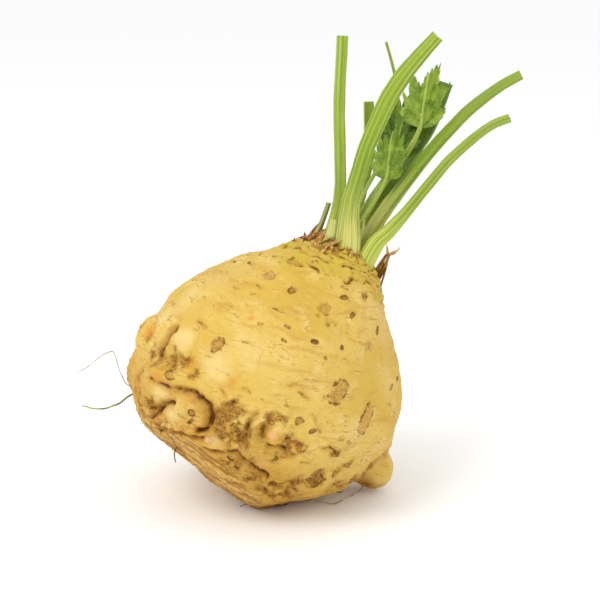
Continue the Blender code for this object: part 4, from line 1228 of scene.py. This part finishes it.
# %% The forked stump
def stump_strips():
    """Strips that twist round one bent line up from the crown, and a short fork at its top."""
    luck = np.random.default_rng(106)
    strips = []
    for _ in range(9):
        d = heading(88 + 9 * luck.uniform(-1, 1), 18 + 3 * luck.uniform(-1, 1))
        foot = CENTRE + d * (skin_at(d) - 1.0)
        tip = np.array([39.6, 3.0, 113.0]) + luck.normal(size=3) * (0.5, 0.6, 1.2)
        strips.append((foot, tip, d + 0.5 * luck.normal(size=3), luck.uniform(1.2, 2.2),
                       d * luck.uniform(0.2, 0.9)))
    for far in ((45.0, 2.6, 116.0), (44.2, 3.0, 114.8), (38.8, 3.0, 117.0)):
        strips.append(((39.2, 3.0, 111.8), far, (0.2, -1, 0.3), 1.2, np.array([0.2, -0.2, -0.6])))
    return strips


stump = bundle("dry_stump_right_strips", "dry_stump_right", STRAW, stump_strips())
print("the stump has", len(stump.data.polygons), "faces")

# %% [markdown]
# ## Rootlets
# A few hair-thin roots escaped the knife. Each is a round thread along a path that bends as
# it dried. Two stand out on the left, and one lies on the ground under the root.


# %% Rootlets
def rootlet_material(name, light, dark):
    """A dry thread, darker in places along its length."""
    material, tree, shader = new_material(name, 0.7, Specular_IOR_Level=0.2)
    colour = mix(tree, climb(tree, clouds(tree, node(tree, "TexCoord").outputs["Object"], 260, 3), 0.4,
                             0.62), dark, light)
    put(tree, shader.inputs["Base Color"], colour)
    return material


THREAD = rootlet_material("rootlet_pale", screen(206, 192, 160), screen(150, 132, 98))
OLIVE = rootlet_material("rootlet_olive", screen(166, 162, 104), screen(112, 104, 56))
DARK = rootlet_material("rootlet_dark", screen(128, 90, 50), screen(66, 46, 26))
ROOTLETS = {
    "rootlet_left_upper": (THREAD, [(-70, -7, 52.4), (-77.6, -8, 54.4), (-80.4, -8, 59.2),
                                    (-82.4, -8, 66), (-84.2, -8, 70.2),
                                    (-89.8, -8, 67.6), (-95.3, -8, 62.8), (-100.4, -8, 60.4)],
                                    (0.5, 0.42, 0.34)),
    "rootlet_left_lower": (OLIVE, [(-68, -5.6, 52.0), (-77, -6, 49.0), (-81.6, -6, 45.4),
                                   (-87.5, -6, 43.0),
                                   (-93, -6, 42.5), (-98.6, -6, 44.0)], (0.9, 0.8, 0.6)),
    "rootlet_under": (THREAD, [(30.4, 4.5, 6.0), (28.6, 1.6, 1.4), (25.6, -2.6, 0.6), (20.6, -9.4, 0.6),
                               (15.8, -15.6, 0.6),
                               (11.4, -14.6, 0.6), (6.8, -12.4, 0.6), (0.4, -12.2, 0.9),
                               (-4.6, -12.0, 2.6)], (0.6, 0.5, 0.4)),
    "rootlet_tip_left": (DARK, [(-18.6, -15.0, 5.6), (-21.6, -20.4, 3.2), (-24.2, -21.0, 2.2),
                                (-27.0, -19.6, 0.8)], (0.8, 0.5, 0.4)),
    "rootlet_tip_right": (DARK, [(-15.0, -16.0, 3.0), (-10.4, -21.0, 1.6), (-5.8, -21.6, 2.4)],
                          (1.3, 1.1, 0.6)),
    "rootlet_stub_low": (DARK, [(20.0, -9.4, 14), (19.0, -16.0, 7.4), (16.6, -19.6, 7.8)],
                         (1.6, 1.4, 0.8)),
    "rootlet_edge": (DARK, [(-52.0, -30, 36.0), (-55.2, -33.6, 31.4), (-54.6, -34.6, 27.0)],
                     (0.8, 0.6, 0.4)),
}


def thread_outline(widths):
    """A circle whose width follows the thread."""
    def outline(t):
        """Side and height of every point round the section at the share t of the path."""
        turn = np.arange(10) * np.pi / 5
        w = through(widths, t * (len(widths) - 1))[:, None] / 2
        return w * np.sin(turn), w * np.cos(turn)
    return outline


for name, (finish, path, widths) in ROOTLETS.items():
    rings = carried(path, 60, (0.05, 0.1, 1), thread_outline(widths))
    kinks = 0.22 * np.stack([field(np.column_stack([np.arange(60) / 5, np.full(60, k),
        np.full(60, len(name))]), k) for k in range(3)], 1)
    kinks[:, 2] = np.abs(kinks[:, 2])
    points, faces, _ = closed_rows(rings + kinks[:, None], extra_end=False)
    thread = mesh_piece(name + "_thread", points, faces, finish)
    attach(thread, "root")
    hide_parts(name)
print("rootlets:", len(ROOTLETS))
